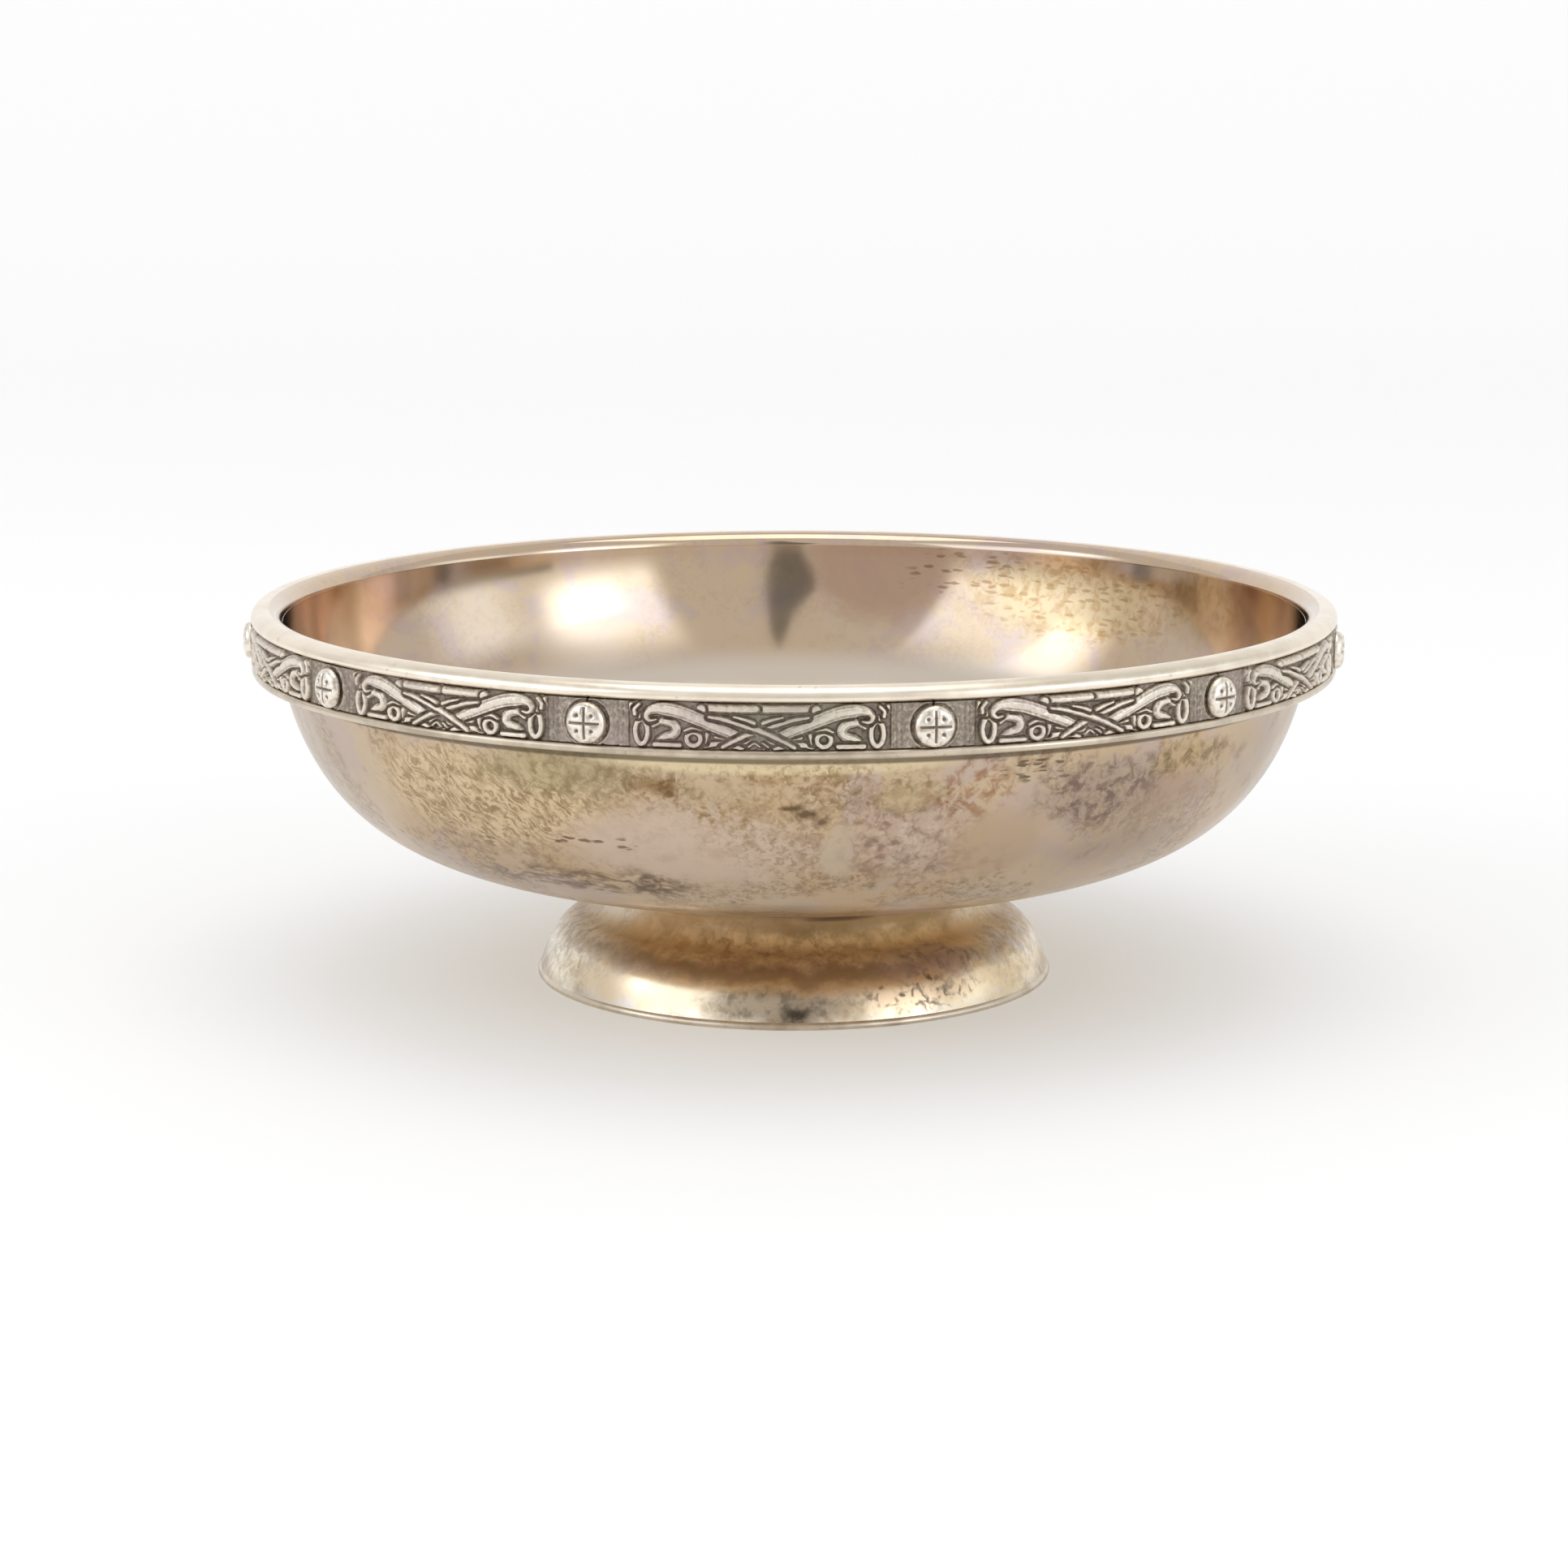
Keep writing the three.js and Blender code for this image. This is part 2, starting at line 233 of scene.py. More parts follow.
def makeFleckGroup():
    inputs = {"Spot": ("vector", None), "Scale": ("value", 1.0), "Size": ("value", 0.3),
              "Share": ("value", 0.5)}
    tree, given, result = startGroup("flecks", inputs, {"Mask": "value"})
    wander = noise(tree, given["Spot"], mathNode(tree, "MULTIPLY", given["Scale"], 1.3), 2.0, 0.5)
    bent = addNode(tree, "ShaderNodeVectorMath", {0: wander.outputs["Color"], 3: 0.9}, operation="SCALE")
    bent = addNode(tree, "ShaderNodeVectorMath", {0: given["Spot"], 1: bent.outputs[0]}, operation="ADD")
    cells = addNode(tree, "ShaderNodeTexVoronoi", {"Vector": bent.outputs[0], "Scale": given["Scale"]})
    chance = addNode(tree, "ShaderNodeSeparateColor", {0: cells.outputs["Color"]})
    chosen = mathNode(tree, "LESS_THAN", chance.outputs[0], given["Share"])
    core = mathNode(tree, "MULTIPLY", given["Size"], 0.6)
    small = ramp(tree, cells.outputs["Distance"], core, given["Size"], 1.0, 0.0)
    join(tree, mathNode(tree, "MULTIPLY", small, chosen), result["Mask"])
    return tree


def makeHatchGroup():
    inputs = {"Angle": ("value", 0.0), "Run": ("value", 0.0), "Slant": ("value", 0.75),
              "Scale": ("value", 1.9)}
    tree, given, result = startGroup("slantedHatch", inputs, {"Mask": "value"})
    around = mathNode(tree, "MULTIPLY", given["Angle"], 1.2)  # mm for a degree
    flat = addNode(tree, "ShaderNodeCombineXYZ", {"X": around, "Y": given["Run"]})
    turned = addNode(tree, "ShaderNodeVectorRotate", {"Vector": flat.outputs[0], "Angle": given["Slant"]},
                     rotation_type="Z_AXIS")
    long = stretch(tree, turned.outputs[0], (0.3, 1.0, 1.0))
    grain = noiseValue(tree, long, given["Scale"], 2.0, 0.5, 0.35)
    join(tree, ramp(tree, grain, 0.42, 0.64), result["Mask"])
    return tree


def makeWearGroup():
    inputs = {"Spot": ("vector", None), "Scratch Scale": ("value", 3.0), "Roughness": ("value", 0.3),
              "Spread": ("value", 0.1)}
    outputs = {"Roughness": "value", "Height": "value"}
    tree, given, result = startGroup("handlingWear", inputs, outputs)
    turning = stretch(tree, given["Spot"], (0.12, 0.12, 2.2))
    fine = noiseValue(tree, turning, given["Scratch Scale"], 3.0, 0.6)
    broad = noiseValue(tree, given["Spot"], 0.09, 3.0, 0.6)
    low = mathNode(tree, "SUBTRACT", given["Roughness"], given["Spread"])
    high = mathNode(tree, "ADD", given["Roughness"], given["Spread"])
    join(tree, ramp(tree, broad, 0.3, 0.7, low, high), result["Roughness"])
    dents = mathNode(tree, "MULTIPLY", noiseValue(tree, given["Spot"], 0.035, 1.0, 0.4), 14.0)
    scratches = mathNode(tree, "MULTIPLY", fine, 0.12)
    join(tree, mathNode(tree, "ADD", scratches, dents), result["Height"])
    return tree


placeGroup = makePlaceGroup()
patchGroup = makePatchGroup()
wormGroup = makeWormGroup()
fleckGroup = makeFleckGroup()
hatchGroup = makeHatchGroup()
wearGroup = makeWearGroup()
print("shader groups made")

# Materials

metal = {
    "coat": 0.35,  # the thin clear skin that keeps the shine
    "coatRoughness": 0.12,
    "bump": 0.25,
    "bumpDepth": 0.00002,  # metres
    "wander": 5.0,  # the range in which the edge of a stain or painted patch strays, in mm and in degrees
    "wanderScale": 0.22,
}


def startMetal(name, roughness, spread, scratch=3.0):
    material = bpy.data.materials.new(name)
    material.use_nodes = True
    tree = material.node_tree
    shader = tree.nodes["Principled BSDF"]
    shader.inputs["Metallic"].default_value = 1.0
    shader.inputs["Coat Weight"].default_value = metal["coat"]
    shader.inputs["Coat Roughness"].default_value = metal["coatRoughness"]
    place = group(tree, placeGroup, {"Warp": metal["wander"], "Warp Scale": metal["wanderScale"]})
    wear = group(tree, wearGroup, {
        "Spot": place["Spot"], "Scratch Scale": scratch, "Roughness": roughness, "Spread": spread})
    relief = {"Height": wear["Height"], "Strength": metal["bump"], "Distance": metal["bumpDepth"]}
    join(tree, addNode(tree, "ShaderNodeBump", relief).outputs[0], shader.inputs["Normal"])
    return material, place, wear["Roughness"]


def dressMetal(material, color, roughness):
    shader = material.node_tree.nodes["Principled BSDF"]
    join(material.node_tree, color, shader.inputs["Base Color"])
    join(material.node_tree, roughness, shader.inputs["Roughness"])
    return material


# How coarse each look of a stain is and how much of it shows
looks = {
    "worms": {"Scale": 0.42, "Width": 0.16, "Broken": 0.42},
    "crackle": {"Scale": 0.75, "Width": 0.16, "Broken": 0.4},
    "strokes": {"Scale": 0.42, "Width": 0.2, "Broken": 0.36},
    "dashes": {"Scale": 0.85, "Size": 0.45, "Share": 0.5},
    "dots": {"Scale": 0.75, "Size": 0.36, "Share": 0.34},
}
drawnLong = ("strokes", "dashes")  # looks that are longer across than up


def makeMask(tree, place, look):
    spot = place["Spot"]
    if look == "smooth":
        return 1.0
    if look == "hatch":
        return group(tree, hatchGroup, {"Angle": place["Angle"], "Run": place["Run"]})["Mask"]
    if look == "blotch":
        return ramp(tree, noiseValue(tree, spot, 0.6, 4.0, 0.65, 0.5), 0.42, 0.66)
    kind = wormGroup if "Width" in looks[look] else fleckGroup
    where = stretch(tree, spot, (0.5, 0.5, 1.6)) if look in drawnLong else spot
    return group(tree, kind, {"Spot": where, **looks[look]})["Mask"]


def maskFor(tree, place, masks, look):
    if look not in masks:
        masks[look] = makeMask(tree, place, look)
    return masks[look]


def stainOrPaintedLight(angle, run, halfAngle, halfRun, look, color, strength, soft=0.35, straight=False):
    shape = {"Middle Angle": angle, "Middle Run": run, "Half Angle": halfAngle, "Half Run": halfRun,
             "Softness": soft}
    return {"shape": shape, "look": look, "color": color, "strength": strength, "straight": straight}


def addStainsAndPaintedLight(tree, color, place, masks, stainsAndPaintedLight):
    for mark in stainsAndPaintedLight:
        run = place["Level"] if mark["straight"] else place["Run"]
        patch = group(tree, patchGroup, {"Angle": place["Angle"], "Run": run, **mark["shape"]})["Mask"]
        textured = mathNode(tree, "MULTIPLY", maskFor(tree, place, masks, mark["look"]), mark["strength"])
        color = blend(tree, mathNode(tree, "MULTIPLY", patch, textured), color, paint(mark["color"]))
    return color


# Stains and painted light or shade: degrees from the front, mm along the profile, then half sizes. Straight
# ones don't stray
# Outside of the bowl, along its profile from the middle of the bottom
outsideStainsAndPaintedShade = [
    stainOrPaintedLight(0, 20, 400, 24, "smooth", "dccab2", 0.8),
    # Painted shade: darker, greyer patches on both sides, towards the outline
    stainOrPaintedLight(-72, 76, 16, 9, "smooth", "a5907a", 0.5, soft=0.5),
    stainOrPaintedLight(72, 76, 18, 9, "smooth", "a08a72", 0.52, soft=0.5),
    stainOrPaintedLight(-35, 75, 15, 7, "smooth", "dcc49e", 0.8),
    stainOrPaintedLight(-35, 75, 15, 7.5, "hatch", "80613a", 0.7),
    stainOrPaintedLight(-36, 75, 13, 6.5, "blotch", "8a6c40", 0.3),
    stainOrPaintedLight(-25, 80, 9, 2.8, "smooth", "b0a07a", 0.65, soft=0.5),
    stainOrPaintedLight(-24, 79.6, 10, 3.2, "blotch", "75623c", 0.55),
    stainOrPaintedLight(-14.6, 79, 2.2, 1.4, "smooth", "8f7048", 0.75, soft=0.5),
    stainOrPaintedLight(-14.4, 79, 2.8, 1.7, "blotch", "74532e", 0.9, soft=0.5),
    stainOrPaintedLight(-11, 69.5, 14, 6, "smooth", "cfbaa6", 0.95),
    stainOrPaintedLight(-12, 70.5, 9, 3.5, "blotch", "b39a84", 0.35),
    stainOrPaintedLight(-2, 82.2, 17, 1.3, "smooth", "dfcda6", 0.85, soft=0.3, straight=True),
    stainOrPaintedLight(-2, 81.0, 15, 1.2, "crackle", "9a7b48", 0.4, straight=True),
    stainOrPaintedLight(-7, 75.5, 3.4, 2.4, "worms", "8f6c35", 0.9),
    stainOrPaintedLight(-24, 69.9, 8, 1.1, "dashes", "6a4f33", 0.8),
    stainOrPaintedLight(-38, 68.4, 8, 1.2, "dashes", "7a5e42", 0.6),
    stainOrPaintedLight(-27, 61.4, 15, 3.0, "strokes", "664a33", 0.85),
    stainOrPaintedLight(-17.5, 61.6, 4.2, 2.3, "blotch", "5e4431", 0.85, soft=0.5),
    stainOrPaintedLight(4, 73, 13, 9.5, "crackle", "8a6f4c", 0.5),
    stainOrPaintedLight(4, 74, 12, 8, "blotch", "987b52", 0.4),
    stainOrPaintedLight(-0.4, 76.6, 0.9, 0.6, "smooth", "5e452b", 0.85, soft=0.6),
    stainOrPaintedLight(0.7, 75.4, 0.9, 0.7, "smooth", "5a4128", 0.85, soft=0.6),
    stainOrPaintedLight(2.0, 74.2, 1.0, 0.6, "smooth", "5a4128", 0.8, soft=0.6),
    stainOrPaintedLight(5, 69.5, 2.2, 4.6, "smooth", "c8b69c", 0.9),
    stainOrPaintedLight(12.5, 71.5, 7, 6.5, "smooth", "bda596", 0.65, soft=0.5),
    stainOrPaintedLight(12.5, 71.5, 7, 6.5, "blotch", "765b4b", 0.6),
    stainOrPaintedLight(12.5, 71.5, 6, 6, "worms", "d2c2b0", 0.6),
    stainOrPaintedLight(11.5, 77.3, 5.4, 3.0, "worms", "75572e", 0.8),
    stainOrPaintedLight(11.5, 77.4, 3.2, 1.9, "smooth", "bda97b", 0.5, soft=0.6),
    stainOrPaintedLight(18.5, 78, 4.8, 3.6, "blotch", "93613a", 0.75),
    stainOrPaintedLight(22, 69.5, 5.5, 6, "smooth", "b99f80", 0.7, soft=0.4),
    stainOrPaintedLight(26.5, 80.6, 5.6, 2.2, "dashes", "4f402c", 0.8),
    stainOrPaintedLight(35, 76, 8, 4.8, "smooth", "a08a79", 0.7, soft=0.6),
    stainOrPaintedLight(35, 76, 8.5, 5.2, "blotch", "6a544b", 0.75),
    stainOrPaintedLight(37, 75.6, 9.5, 5.0, "crackle", "6e5850", 0.2),
    stainOrPaintedLight(47, 78.8, 6.5, 2.4, "smooth", "b39868", 0.5),
    stainOrPaintedLight(47, 78.8, 6.5, 2.4, "blotch", "6b532f", 0.7),
    stainOrPaintedLight(46, 74, 7, 3.4, "smooth", "a78c78", 0.7, soft=0.5),
    stainOrPaintedLight(41, 67, 10, 4, "smooth", "a18b78", 0.65, soft=0.7),
    # Painted shade: a dark line round the bowl just under the border wire
    stainOrPaintedLight(0, 82.65, 400, 0.35, "smooth", "4a3e2a", 0.75, soft=0.5, straight=True),
]

# Inside of the bowl, past the lip at 90.5 mm
insideStainsAndPaintedLight = [
    stainOrPaintedLight(180, 113, 60, 4, "smooth", "e0d3c4", 0.9, soft=0.6, straight=True),
    # Painted shade: a darker patch on the far inside wall, in place of a dark reflection
    stainOrPaintedLight(168.5, 94, 9.5, 9, "smooth", "b39077", 0.75, soft=0.3),
    stainOrPaintedLight(157, 95, 8, 3.8, "dashes", "775a48", 0.7),
    stainOrPaintedLight(150, 94, 10, 4, "blotch", "a37c58", 0.35),
    stainOrPaintedLight(140, 98, 15, 5.5, "smooth", "e0c391", 0.6),
    stainOrPaintedLight(140, 98, 16, 6, "dashes", "a27c4c", 0.55),
    stainOrPaintedLight(140, 98, 16, 6, "blotch", "a87f48", 0.5),
    # Painted highlight: a pale patch just inside the lip on the right
    stainOrPaintedLight(128, 91.8, 7, 1.9, "smooth", "e2dcd9", 0.85, soft=0.5),
    stainOrPaintedLight(117, 96, 9, 5.5, "smooth", "a1865c", 0.7, soft=0.5),
    stainOrPaintedLight(118, 95, 9, 4, "blotch", "8d6a3c", 0.45),
    stainOrPaintedLight(106, 94, 8, 5, "smooth", "8c6236", 0.55),
    stainOrPaintedLight(-103, 94, 12, 6, "smooth", "ab8054", 0.5),
    # Painted highlight: a pale patch just inside the lip on the left
    stainOrPaintedLight(-127, 92, 8, 3, "smooth", "dccac6", 0.8, soft=0.5),
]

# Foot, up from the foot wire
footStainsAndPaintedLight = [
    stainOrPaintedLight(0, 2.8, 64, 2.8, "smooth", "ecd0a6", 0.7, soft=0.3),
    stainOrPaintedLight(26, 3.2, 16, 2.6, "smooth", "c0a07c", 0.8, soft=0.5),
    stainOrPaintedLight(0, 11.6, 56, 7.0, "smooth", "c9a26a", 0.8, soft=0.22),
    stainOrPaintedLight(180, 11.6, 100, 7.0, "smooth", "c9a26a", 0.7, soft=0.28),
    # Painted reflection: a dark band on the front of the flare and a light band where the flare turns into
    # the neck
    stainOrPaintedLight(0, 6.5, 58, 1.9, "smooth", "8a6540", 0.7, soft=0.6),
    stainOrPaintedLight(0, 10.6, 56, 2.7, "smooth", "fadaa6", 0.8, soft=0.5),
    stainOrPaintedLight(-30, 11.0, 16, 4.6, "blotch", "b67a42", 0.35),
    stainOrPaintedLight(-4, 9.0, 22, 3.0, "blotch", "c79079", 0.4),
    stainOrPaintedLight(-8, 13.4, 20, 2.4, "blotch", "8a6838", 0.4),
    # Painted shade: the upper neck darker at the front, under the bowl
    stainOrPaintedLight(20, 14.9, 34, 2.0, "smooth", "87683f", 0.6, soft=0.5),
    stainOrPaintedLight(-20, 14.6, 22, 1.7, "smooth", "a07f52", 0.4, soft=0.5),
    stainOrPaintedLight(24, 12.5, 22, 3.4, "blotch", "98824a", 0.4),
    # Painted shadow under the bowl: a darker band round the top of the neck and thin dark lines below it at
    # the front
    stainOrPaintedLight(0, 16.9, 400, 1.5, "smooth", "8f7048", 0.75, soft=0.4, straight=True),
    stainOrPaintedLight(3, 16.2, 24, 0.4, "smooth", "46331b", 0.7, soft=0.5, straight=True),
    stainOrPaintedLight(13, 15.5, 9, 0.3, "smooth", "5e3c1e", 0.8, soft=0.6, straight=True),
    stainOrPaintedLight(-2, 8.6, 24, 3.0, "worms", "8b6a50", 0.3),
    stainOrPaintedLight(36, 7.0, 14, 2.8, "worms", "5e4538", 0.75),
    stainOrPaintedLight(33, 7.6, 14, 2.8, "smooth", "b8988a", 0.45),
    stainOrPaintedLight(-4, 1.9, 17, 2.2, "smooth", "a3937f", 0.7),
    stainOrPaintedLight(-4, 1.9, 17, 2.2, "blotch", "6a5b4a", 0.6),
    stainOrPaintedLight(0.5, 1.5, 3.2, 0.9, "smooth", "3d3228", 0.8, soft=0.6),
    stainOrPaintedLight(30, 2.3, 15, 2.1, "worms", "3f342a", 0.9),
    stainOrPaintedLight(30, 2.3, 15, 2.1, "dots", "6f5d49", 0.4),
    stainOrPaintedLight(-78, 6, 30, 6.5, "worms", "8a7c66", 0.3),
    stainOrPaintedLight(76, 6, 30, 6.5, "worms", "96866e", 0.25),
    stainOrPaintedLight(-78, 5, 26, 6, "blotch", "867962", 0.4),
    stainOrPaintedLight(76, 5, 26, 6, "blotch", "a08c70", 0.2),
]

outsideTones = {"main": "c6b093", "warm": "c4a883", "cool": "c0ab9b", "dark": "86694a"}
insideTones = {"main": "cdb7a0", "warm": "cfb698", "cool": "c8b1a2", "dark": "977455"}
footTones = {"main": "ede2cf", "warm": "e8d5b2", "cool": "e8dccf", "dark": "84633f"}
footFade = {"from": 3.8, "over": 3.2, "by": 0.36}  # the foot grows duller up its profile


def mottle(tree, place, masks, tones, amount):
    spot = place["Spot"]
    broad = ramp(tree, noiseValue(tree, spot, 0.05, 4.0, 0.6), 0.42, 0.62)
    other = ramp(tree, noiseValue(tree, spot, 0.11, 4.0, 0.6, 0.5), 0.5, 0.62)
    color = blend(tree, broad, paint(tones["main"]), paint(tones["warm"]))
    color = blend(tree, other, color, paint(tones["cool"]))
    worn = ramp(tree, noiseValue(tree, spot, 0.075, 5.0, 0.65), 0.46, 0.56)
    for look, share in (("crackle", 0.7), ("blotch", 0.5)):
        shown = mathNode(tree, "MULTIPLY", worn, share * amount)
        shown = mathNode(tree, "MULTIPLY", maskFor(tree, place, masks, look), shown)
        color = blend(tree, shown, color, paint(tones["dark"]))
    return color


def turnedMetal(name, tones, stainsAndPaintedLight, roughness, spread, amount, fade=None):
    material, place, rough = startMetal(name, roughness, spread)
    tree = material.node_tree
    masks = {}
    color = mottle(tree, place, masks, tones, amount)
    color = addStainsAndPaintedLight(tree, color, place, masks, stainsAndPaintedLight)
    if fade:
        dull = ramp(tree, place["Run"], fade["from"], fade["from"] + fade["over"], 0.0, fade["by"])
        rough = mathNode(tree, "ADD", rough, dull)
    return dressMetal(material, color, rough)


# Rim wire, from the outer foot of its section over the crown
rimStains = [
    stainOrPaintedLight(36, 2.6, 22, 1.0, "smooth", "cfc4ac", 0.45, soft=0.5),
    stainOrPaintedLight(-30, 2.6, 16, 1.0, "smooth", "d2c5b0", 0.35, soft=0.5),
]


def wireMetal(name, main, worn, stainsAndPaintedLight=()):
    material, place, rough = startMetal(name, roughness=0.3, spread=0.07, scratch=5.0)
    tree = material.node_tree
    broad = ramp(tree, noiseValue(tree, place["Spot"], 0.16, 4.0, 0.6), 0.4, 0.7)
    few = {"Spot": place["Spot"], "Scale": 1.1, "Size": 0.28, "Share": 0.12}
    specks = group(tree, fleckGroup, few)["Mask"]
    color = blend(tree, broad, paint(main), paint(worn))
    color = blend(tree, mathNode(tree, "MULTIPLY", specks, 0.3), color, paint("8b7c6a"))
    color = addStainsAndPaintedLight(tree, color, place, {}, stainsAndPaintedLight)
    return dressMetal(material, color, rough)


def darkMetal():
    material, place, rough = startMetal("darkStrip", roughness=0.5, spread=0.1)
    tree = material.node_tree
    broad = ramp(tree, noiseValue(tree, place["Spot"], 0.3, 4.0, 0.6), 0.35, 0.65)
    return dressMetal(material, blend(tree, broad, paint("544a3f"), paint("7b6f61")), rough)


cast = {
    "high": "e6dbcc",
    "wall": "beb1a0",
    "ground": "8e8174",
    "cut": "7a6d60",
    "green": "acac96",
    "purple": "b09f99",
    "grain": 1.4,  # how far the grime eats into the worn parts
    "roughness": 0.4,
}


def castMetal():
    material, place, rough = startMetal("castOrnament", cast["roughness"], spread=0.06, scratch=4.0)
    tree = material.node_tree
    cavity = attribute(tree, "cavity")
    grime = noiseValue(tree, place["Spot"], 1.9, 4.0, 0.7)
    grain = mathNode(tree, "MULTIPLY", mathNode(tree, "SUBTRACT", grime, 0.5), cast["grain"])
    worn = mathNode(tree, "ADD", attribute(tree, "relief"), grain)
    color = blend(tree, ramp(tree, worn, 0.1, 0.6), paint(cast["ground"]), paint(cast["wall"]))
    color = blend(tree, ramp(tree, worn, 0.55, 1.0), color, paint(cast["high"]))
    color = blend(tree, ramp(tree, cavity, 0.1, 0.9, 0.0, 0.6), color, paint(cast["cut"]))
    tint = noise(tree, place["Spot"], 0.045, 2.0, 0.5)
    split = addNode(tree, "ShaderNodeSeparateColor", {0: tint.outputs["Color"]})
    color = blend(tree, ramp(tree, split.outputs[0], 0.5, 0.66, 0.0, 0.45), color, paint(cast["green"]))
    color = blend(tree, ramp(tree, split.outputs[1], 0.5, 0.66, 0.0, 0.5), color, paint(cast["purple"]))
    rough = mathNode(tree, "ADD", rough, ramp(tree, worn, 0.0, 0.9, 0.16, 0.0))
    return dressMetal(material, color, rough)


def roundelMaterial():
    material, place, rough = startMetal("roundelSilver", roughness=0.3, spread=0.06, scratch=4.0)
    tree = material.node_tree
    grime = noiseValue(tree, place["Spot"], 1.2, 4.0, 0.65)
    color = blend(tree, ramp(tree, grime, 0.45, 0.72), paint("f3eadc"), paint("bcae9a"))
    color = blend(tree, ramp(tree, attribute(tree, "cavity"), 0.15, 0.85), color, paint("75685a"))
    return dressMetal(material, color, rough)


bowlOutsideMetal = turnedMetal(
    "bowlOutside", outsideTones, outsideStainsAndPaintedShade, roughness=0.34, spread=0.06, amount=0.95)
bowlInsideMetal = turnedMetal(
    "bowlInside", insideTones, insideStainsAndPaintedLight, roughness=0.1, spread=0.02, amount=0.15)
footMetal = turnedMetal(
    "footMetal", footTones, footStainsAndPaintedLight, roughness=0.22, spread=0.05, amount=0.35, fade=footFade)
rimMetal = wireMetal("rimSilver", "f6e9d6", "eadcc8", rimStains)
borderMetal = wireMetal("borderSilver", "d3c5b0", "b3a48f")
footWireMetal = wireMetal("footWireSilver", "d6c8b4", "b5a48d")
stripMetal = darkMetal()
ornamentMetal = castMetal()
roundelMetal = roundelMaterial()
print("materials made")

# Turned pieces: a profile spun round the axis

def makeSpinTree():
    tree = bpy.data.node_groups.new("spinProfile", "GeometryNodeTree")
    inputs = {
        "Profile": ("Geometry", None), "Turns": ("Int", 64), "Crease Angle": ("Float", 0.6),
        "Lining Start": ("Float", 1000.0), "Material": ("Material", None),
        "Lining Material": ("Material", None),
    }
    for name, (kind, value) in inputs.items():
        socket = tree.interface.new_socket(name=name, in_out="INPUT", socket_type="NodeSocket" + kind)
        if value is not None:
            socket.default_value = value
    tree.interface.new_socket(name="Geometry", in_out="OUTPUT", socket_type="NodeSocketGeometry")
    given = addNode(tree, "NodeGroupInput").outputs
    result = addNode(tree, "NodeGroupOutput").inputs
    profile = given["Profile"]
    count = addNode(tree, "GeometryNodeAttributeDomainSize", {"Geometry": profile}).outputs["Point Count"]
    columns = mathNode(tree, "ADD", given["Turns"], 1)
    grid = addNode(tree, "GeometryNodeMeshGrid", {"Vertices X": columns, "Vertices Y": count})
    place = addNode(tree, "GeometryNodeInputPosition").outputs[0]
    split = addNode(tree, "ShaderNodeSeparateXYZ", {0: place})
    acrossShare = mathNode(tree, "ADD", split.outputs["X"], 0.5)
    upShare = mathNode(tree, "ADD", split.outputs["Y"], 0.5)
    lastPoint = mathNode(tree, "SUBTRACT", count, 1)
    row = mathNode(tree, "ROUND", mathNode(tree, "MULTIPLY", upShare, lastPoint))
    run = addNode(tree, "GeometryNodeInputNamedAttribute", {"Name": "run"}, data_type="FLOAT")
    spotAt = addNode(tree, "GeometryNodeSampleIndex", {"Geometry": profile, "Value": place, "Index": row},
                     data_type="FLOAT_VECTOR")
    runAt = addNode(tree, "GeometryNodeSampleIndex",
                    {"Geometry": profile, "Value": run.outputs["Attribute"], "Index": row},
                    data_type="FLOAT")
    section = addNode(tree, "ShaderNodeSeparateXYZ", {0: spotAt.outputs["Value"]})
    angle = mathNode(tree, "MULTIPLY", acrossShare, 2 * math.pi)
    x = mathNode(tree, "MULTIPLY", section.outputs["X"], mathNode(tree, "SINE", angle))
    back = mathNode(tree, "MULTIPLY", section.outputs["X"], mathNode(tree, "COSINE", angle))
    y = mathNode(tree, "MULTIPLY", back, -1)
    spun = addNode(tree, "ShaderNodeCombineXYZ", {"X": x, "Y": y, "Z": section.outputs["Z"]})
    mark = shapeNode(tree, "GeometryNodeStoreNamedAttribute", grid.outputs["Mesh"],
                     {"Name": "run", "Value": runAt.outputs["Value"]}, data_type="FLOAT", domain="POINT")
    move = shapeNode(tree, "GeometryNodeSetPosition", mark, {"Position": spun.outputs[0]})
    weld = shapeNode(tree, "GeometryNodeMergeByDistance", move, {"Distance": 1e-6})
    bend = addNode(tree, "GeometryNodeInputMeshEdgeAngle").outputs["Unsigned Angle"]
    soft = addNode(tree, "FunctionNodeCompare", {"A": bend, "B": given["Crease Angle"]},
                   data_type="FLOAT", operation="LESS_THAN").outputs["Result"]
    faces = shapeNode(tree, "GeometryNodeSetShadeSmooth", weld, domain="FACE")
    edges = shapeNode(tree, "GeometryNodeSetShadeSmooth", faces, {"Shade Smooth": soft}, domain="EDGE")
    real = shapeNode(tree, "GeometryNodeRealizeInstances", edges)
    dressed = shapeNode(tree, "GeometryNodeSetMaterial", real, {"Material": given["Material"]})
    runHere = addNode(tree, "GeometryNodeInputNamedAttribute", {"Name": "run"}, data_type="FLOAT")
    past = addNode(tree, "FunctionNodeCompare",
                   {"A": runHere.outputs["Attribute"], "B": given["Lining Start"]},
                   data_type="FLOAT", operation="GREATER_THAN").outputs["Result"]
    lined = shapeNode(tree, "GeometryNodeSetMaterial", dressed,
                      {"Selection": past, "Material": given["Lining Material"]})
    join(tree, lined, result["Geometry"])
    return tree


def setInput(modifier, name, value):
    for item in modifier.node_group.interface.items_tree:
        if item.item_type == "SOCKET" and item.in_out == "INPUT" and item.name == name:
            modifier[item.identifier] = value


